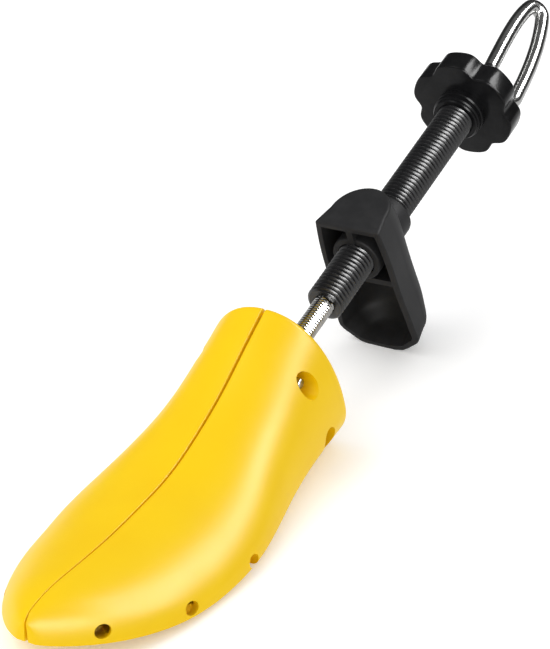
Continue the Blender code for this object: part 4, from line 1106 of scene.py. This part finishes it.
def model_knob():
    """Broad lobes between narrow dips, with soft edges, on a hub with a turned groove."""
    sizes = bpy.context.scene.stretcher_black
    count = KNOB_LOBES * 36
    outline = []
    for i in range(count):
        angle = 2 * math.pi * i / count
        dip = sizes.dip_depth * ((1.0 - math.cos(KNOB_LOBES * angle)) / 2) ** DIP_POWER
        radius, turn = sizes.knob_radius - dip, angle + KNOB_TURN
        outline.append((radius * math.cos(turn), radius * math.sin(turn)))
    middle = Matrix.Translation((0.0, 0.0, KNOB_FRONT + KNOB_THICKNESS / 2))
    knob = plate("black_knob", outline, KNOB_THICKNESS, ROD @ middle)
    soften(knob, KNOB_EDGE, 4, math.radians(60.0))
    join(knob, turned("hub", HUB_PROFILE, 96))
    cut(knob, bar("bore", TUBE_BORE, *KNOB_BORE_PLACE, ROD, 64))
    pocket = hexagon("pocket", FLANGE_POCKET_HALF, FLANGE_POCKET_FLOOR, BEHIND_ALL)
    return cut(knob, pocket, bar("seat", SEAT_RADIUS, SEAT_FLOOR, BEHIND_ALL, ROD, 64))


# The heel block.


def heel_face(up):
    """Where the heel block's open front stands along the rod."""
    return HEEL_FRONT + (HEEL_TOP - up) * HEEL_FRONT_LEAN


def heel_reach(column, size, level, wall):
    """The heel block's half width or depth at a share of its height, or that of the hollow in its wall."""
    table = [(row[0], row[column]) for row in HEEL_LEVEL_SHARES]
    if not wall:
        return size * smooth_table(table, level)
    span = wall / HEEL_HEIGHT
    reaches = []
    for near in np.linspace(max(level - span, 0.0), min(level + span, 1.0), 25):
        sunk = math.sqrt(max(wall**2 - ((near - level) * HEEL_HEIGHT) ** 2, 0.0))
        reaches.append(size * smooth_table(table, near) - sunk)
    return min(reaches)


def heel_ring(level, inset):
    """Points round the heel block at a share of its height, in the rod frame turned with the block."""
    half = heel_reach(1, HEEL_HALF_WIDTH, level, inset)
    depth = heel_reach(2, HEEL_DEPTH, level, inset)
    straight = depth * HEEL_STRAIGHT_SHARE
    shoulder = half - straight * HEEL_TAPER
    up = HEEL_TOP - level * HEEL_HEIGHT
    face = heel_face(up)
    overrun = OVERRUN if inset else 0.0
    corner = half + overrun * HEEL_TAPER
    flat = [(corner, face - overrun)]
    for i in range(41):
        angle = math.pi * i / 40
        flat.append((shoulder * math.cos(angle), face + straight + (depth - straight) * math.sin(angle)))
    flat.append((-corner, face - overrun))
    return [rod_point(x, up, a) for x, a in flat]


class STRETCHER_OT_heel(bpy.types.Operator):
    """Model the heel block: a moulded shell, open in front, with a threaded boss on a shelf and a rib"""

    bl_idname = "stretcher.heel"
    bl_label = "Heel block"

    def execute(self, context):
        wall = context.scene.stretcher_black.heel_wall
        heel = skin("black_heel_block", [heel_ring(i / 48, 0.0) for i in range(49)])
        top, bottom = wall / HEEL_HEIGHT, 1.0 - wall / HEEL_HEIGHT
        inner = [top + (bottom - top) * math.sin(math.pi / 2 * i / 40) for i in range(41)]
        cavity = skin("heel_cavity", [heel_ring(level, wall) for level in inner])
        soften(heel, HEEL_EDGE, 3, math.radians(50.0))
        shelf_front = heel_face(HEEL_SHELF_HIGH) + HEEL_SHELF_SETBACK
        near = rod_point(-OVERRUN, HEEL_SHELF_LOW, shelf_front)
        shelf = block("shelf", near, rod_point(OVERRUN, HEEL_SHELF_HIGH, HEEL_BACK))
        low_front, high_front = (heel_face(up) + HEEL_RIB_SETBACK for up in (0.0, HEEL_TOP))
        side = [(low_front, 0.0), (HEEL_BACK, 0.0), (HEEL_BACK, HEEL_TOP), (high_front, HEEL_TOP)]
        rib = plate("rib", side, HEEL_RIB_THICKNESS, Matrix(((0, 0, 1), (0, -1, 0), (1, 0, 0))).to_4x4())
        cut(cavity, shelf, rib)
        cut(heel, cavity)
        join(heel, soften(bar("boss", HEEL_BOSS_RADIUS, *HEEL_BOSS_PLACE, None, 64), PIECE_EDGE, 3))
        cut(heel, bar("bore", TUBE_BORE, 0.0, BEHIND_ALL, None, 64))
        moved(heel, ROD @ Matrix.Rotation(HEEL_TURN, 4, "Z"))
        cut(heel, block("floor", (-0.05, -0.05, -0.05), (0.05, 0.2, 0.0)))
        finish(heel, "heel", "heel_block", "black_plastic", "black_heel")
        return {"FINISHED"}


# The stage.


def softbox(name, turn, rise, roll, distance, width, height, power):
    """A soft rectangular lamp round the object: turn from the toe's side to the right, rise over the floor,
    and roll about its own line, all in degrees."""
    turn, rise = math.radians(turn), math.radians(rise)
    away = Vector((math.sin(turn) * math.cos(rise), -math.cos(turn) * math.cos(rise), math.sin(rise)))
    fresh()
    bpy.ops.object.light_add(type="AREA", location=LIT_MIDDLE + distance * away)
    lamp = bpy.context.object
    lamp.name = lamp.data.name = name
    facing = (-away).to_track_quat("-Z", "Y").to_matrix() @ Matrix.Rotation(math.radians(roll), 3, "Z")
    lamp.rotation_euler = facing.to_euler()
    lamp.data.shape = "RECTANGLE"
    lamp.data.size = width
    lamp.data.size_y = height
    lamp.data.energy = power
    lamp.visible_camera = False
    return lamp


def larger(tree, first, second):
    node = add(tree, "ShaderNodeMath", {"operation": "MAXIMUM"}, i0=first, i1=second)
    return node.outputs["Value"]


def seen_rays(tree):
    """1 on reflections, and 1 on all the rays that show the background: those, the camera's own, and those
    through something clear."""
    path = add(tree, "ShaderNodeLightPath").outputs
    seen = larger(tree, path["Is Camera Ray"], path["Is Transmission Ray"])
    return path["Is Glossy Ray"], larger(tree, seen, path["Is Glossy Ray"])


def white_paper(looks):
    """A matt white paper sweep, lifted to plain white where it is seen, which still takes a shadow."""
    made, tree, shader = blank_material("matt_white_paper", looks.floor)
    shader.inputs["Base Color"].default_value = rgba(looks.floor)
    shader.inputs["Roughness"].default_value = 0.9
    shader.inputs["Specular IOR Level"].default_value = 0.0
    shader.inputs["Emission Color"].default_value = (1.0, 1.0, 1.0, 1.0)
    shown = seen_rays(tree)[1]
    lift = add(tree, "ShaderNodeMath", {"operation": "MULTIPLY"}, i0=shown, i1=looks.lift)
    tree.links.new(lift.outputs["Value"], shader.inputs["Emission Strength"])
    return made


def studio(looks):
    """An even soft light from all round. The camera sees white, and a reflection sees the white sweep below
    the horizon, and a dim studio above it with a paler ceiling."""
    world = bpy.data.worlds.new("studio")
    world.use_nodes = True
    tree = world.node_tree
    for node in list(tree.nodes):
        tree.nodes.remove(node)
    reflected, shown = seen_rays(tree)
    ways = add(tree, "ShaderNodeTexCoord").outputs["Generated"]
    up = add(tree, "ShaderNodeSeparateXYZ", Vector=ways).outputs["Z"]

    def ramp(low, high, start, end):
        return add(tree, "ShaderNodeMapRange", {"interpolation_type": "SMOOTHSTEP"}, Value=up, From_Min=low,
                   From_Max=high, To_Min=start, To_Max=end).outputs["Result"]

    dim = larger(tree, ramp(-0.12, 0.02, 1.0, 0.0), ramp(0.65, 0.85, looks.studio_dim, looks.ceiling))
    bright = add(tree, "ShaderNodeMix", Factor=reflected, i2=1.0, i3=dim).outputs[0]
    white = (1.0, 1.0, 1.0, 1.0)
    lit = add(tree, "ShaderNodeBackground", Color=white, Strength=looks.fill).outputs["Background"]
    backdrop = add(tree, "ShaderNodeBackground", Color=white, Strength=bright).outputs["Background"]
    mixed = add(tree, "ShaderNodeMixShader", i0=shown, i1=lit, i2=backdrop)
    add(tree, "ShaderNodeOutputWorld", Surface=mixed.outputs["Shader"])
    return world


class STRETCHER_OT_stage(bpy.types.Operator):
    """Lay the white floor, hang the soft lights and set the camera"""

    bl_idname = "stretcher.stage"
    bl_label = "Stage, lights and camera"

    def execute(self, context):
        looks = context.scene.stretcher_stage
        fresh()
        bpy.ops.mesh.primitive_grid_add(x_subdivisions=8, y_subdivisions=8, size=FLOOR_SIZE)
        floor = settled("floor")
        floor.data.materials.append(white_paper(looks))
        context.scene.world = studio(looks)
        softbox("key", *KEY_BOX, looks.key)
        # These two only draw the long highlights, so the surfaces stay at a plain level.
        for lamp in (
            softbox("shine_front", *SHINE_FRONT_BOX, looks.shine),
            softbox("shine_rear", *SHINE_REAR_BOX, looks.shine * SHINE_REAR_SHARE),
        ):
            lamp.visible_diffuse = False

        camera = bpy.data.cameras.new("camera")
        camera.sensor_fit = "HORIZONTAL"
        camera.sensor_width = 36.0
        camera.lens = CAMERA_LENS
        camera.clip_start = 0.05
        camera.clip_end = 30.0
        holder = bpy.data.objects.new("camera", camera)
        context.scene.collection.objects.link(holder)
        holder.matrix_world = Matrix.Translation(CAMERA_PLACE) @ Matrix(CAMERA_TURN).to_4x4()
        context.scene.camera = holder
        context.scene.view_settings.view_transform = "Standard"
        return {"FINISHED"}


# The settings and the panel.


class StretcherForm(bpy.types.PropertyGroup):
    """Settings of the two half forms"""

    seam_edge: bpy.props.FloatProperty(
        name="Seam edge", description="Radius of the edge at the seam", default=0.00035, unit="LENGTH"
    )
    yellow: bpy.props.StringProperty(name="Yellow", description="The plastic, sRGB hex", default="FCD002")
    yellow_deep: bpy.props.StringProperty(
        name="Deep yellow", description="The dye's deeper clouds, sRGB hex", default="FACC00"
    )


class StretcherScrew(bpy.types.PropertyGroup):
    """Settings of the rod, the tube, the hook and their metal"""

    rod_radius: bpy.props.FloatProperty(
        name="Rod radius", description="Over the crests of its thread", default=0.0040, unit="LENGTH"
    )
    rod_pitch: bpy.props.FloatProperty(
        name="Rod pitch", description="Advance of the rod's thread", default=0.00125, unit="LENGTH"
    )
    flat_depth: bpy.props.FloatProperty(
        name="Flat depth", description="How deep the rod's flat is milled", default=0.0004, unit="LENGTH"
    )
    flat_turn: bpy.props.FloatProperty(
        name="Flat turn", description="Where the flat faces round the rod, in degrees", default=224.0
    )
    tube_radius: bpy.props.FloatProperty(
        name="Tube radius", description="Over the crests of its thread", default=0.00725, unit="LENGTH"
    )
    tube_pitch: bpy.props.FloatProperty(
        name="Tube pitch", description="Advance of the tube's thread", default=0.0020, unit="LENGTH"
    )
    wire_radius: bpy.props.FloatProperty(
        name="Wire radius", description="Radius of the hook's wire", default=0.0030, unit="LENGTH"
    )
    steel: bpy.props.StringProperty(name="Steel", description="The plating, sRGB hex", default="A2A2A1")
    steel_dull: bpy.props.StringProperty(
        name="Dull steel", description="Its handled film, sRGB hex", default="8E8E8D"
    )
    zinc: bpy.props.StringProperty(name="Zinc", description="The zinc plating, sRGB hex", default="B4B7B9")
    zinc_warm: bpy.props.StringProperty(
        name="Warm zinc", description="Its warmer clouds, sRGB hex", default="C2BFB4"
    )


class StretcherBlack(bpy.types.PropertyGroup):
    """Settings of the black plastic pieces"""

    heel_wall: bpy.props.FloatProperty(
        name="Heel wall", description="Thickness of the heel block's shell", default=0.0026, unit="LENGTH"
    )
    knob_radius: bpy.props.FloatProperty(
        name="Knob radius", description="Over the knob's lobes", default=0.0211, unit="LENGTH"
    )
    dip_depth: bpy.props.FloatProperty(
        name="Dip depth", description="Depth of the dips between the lobes", default=0.0026, unit="LENGTH"
    )
    black: bpy.props.StringProperty(name="Black", description="The knob, sRGB hex", default="141415")
    rubbed: bpy.props.StringProperty(
        name="Rubbed black", description="Its rubbed places, sRGB hex", default="1D1D1E"
    )
    heel: bpy.props.StringProperty(
        name="Heel black", description="The heel block, sRGB hex", default="29292A"
    )
    heel_rubbed: bpy.props.StringProperty(
        name="Rubbed heel black", description="The heel block's rubbed places, sRGB hex", default="303031"
    )
    tube: bpy.props.StringProperty(
        name="Tube black", description="The threaded tube, sRGB hex", default="18181A"
    )


class StretcherStage(bpy.types.PropertyGroup):
    """Settings of the floor and the lights"""

    floor: bpy.props.StringProperty(name="Floor", description="The floor, sRGB hex", default="FFFFFF")
    fill: bpy.props.FloatProperty(
        name="Fill", description="Strength of the light from all round", default=0.84
    )
    lift: bpy.props.FloatProperty(
        name="Lift", description="Strength that lifts the seen floor to white", default=0.20
    )
    studio_dim: bpy.props.FloatProperty(
        name="Dim studio", description="Strength of the studio that reflections see", default=0.05
    )
    ceiling: bpy.props.FloatProperty(
        name="Ceiling", description="Strength of the ceiling that reflections see", default=0.25
    )
    key: bpy.props.FloatProperty(
        name="Key", description="Power of the overhead softbox", default=6.0, unit="POWER"
    )
    shine: bpy.props.FloatProperty(
        name="Shine", description="Power of the softboxes seen in reflections", default=66.0, unit="POWER"
    )


GROUPS = {
    "stretcher_form": StretcherForm,
    "stretcher_screw": StretcherScrew,
    "stretcher_black": StretcherBlack,
    "stretcher_stage": StretcherStage,
}
STEPS = (
    STRETCHER_OT_form,
    STRETCHER_OT_spreader,
    STRETCHER_OT_width_screw,
    STRETCHER_OT_length_screw,
    STRETCHER_OT_heel,
    STRETCHER_OT_stage,
)


class STRETCHER_PT_panel(bpy.types.Panel):
    """The steps that build the stretcher, and their settings"""

    bl_idname = "STRETCHER_PT_panel"
    bl_label = "Shoe stretcher"
    bl_space_type = "VIEW_3D"
    bl_region_type = "UI"
    bl_category = "Stretcher"

    def draw(self, context):
        for step in STEPS:
            self.layout.operator(step.bl_idname)
        for name, group in GROUPS.items():
            box = self.layout.box()
            for key in group.__annotations__:
                box.prop(getattr(context.scene, name), key)


def register():
    for made in (*GROUPS.values(), *STEPS, STRETCHER_PT_panel):
        bpy.utils.register_class(made)
    for name, group in GROUPS.items():
        setattr(bpy.types.Scene, name, bpy.props.PointerProperty(type=group))


def unregister():
    for name in GROUPS:
        delattr(bpy.types.Scene, name)
    for made in reversed((*GROUPS.values(), *STEPS, STRETCHER_PT_panel)):
        bpy.utils.unregister_class(made)


def main():
    register()
    bpy.ops.stretcher.form()
    bpy.ops.stretcher.spreader()
    bpy.ops.stretcher.width_screw()
    bpy.ops.stretcher.length_screw()
    bpy.ops.stretcher.heel()
    bpy.ops.stretcher.stage()


if __name__ == "__main__":
    main()
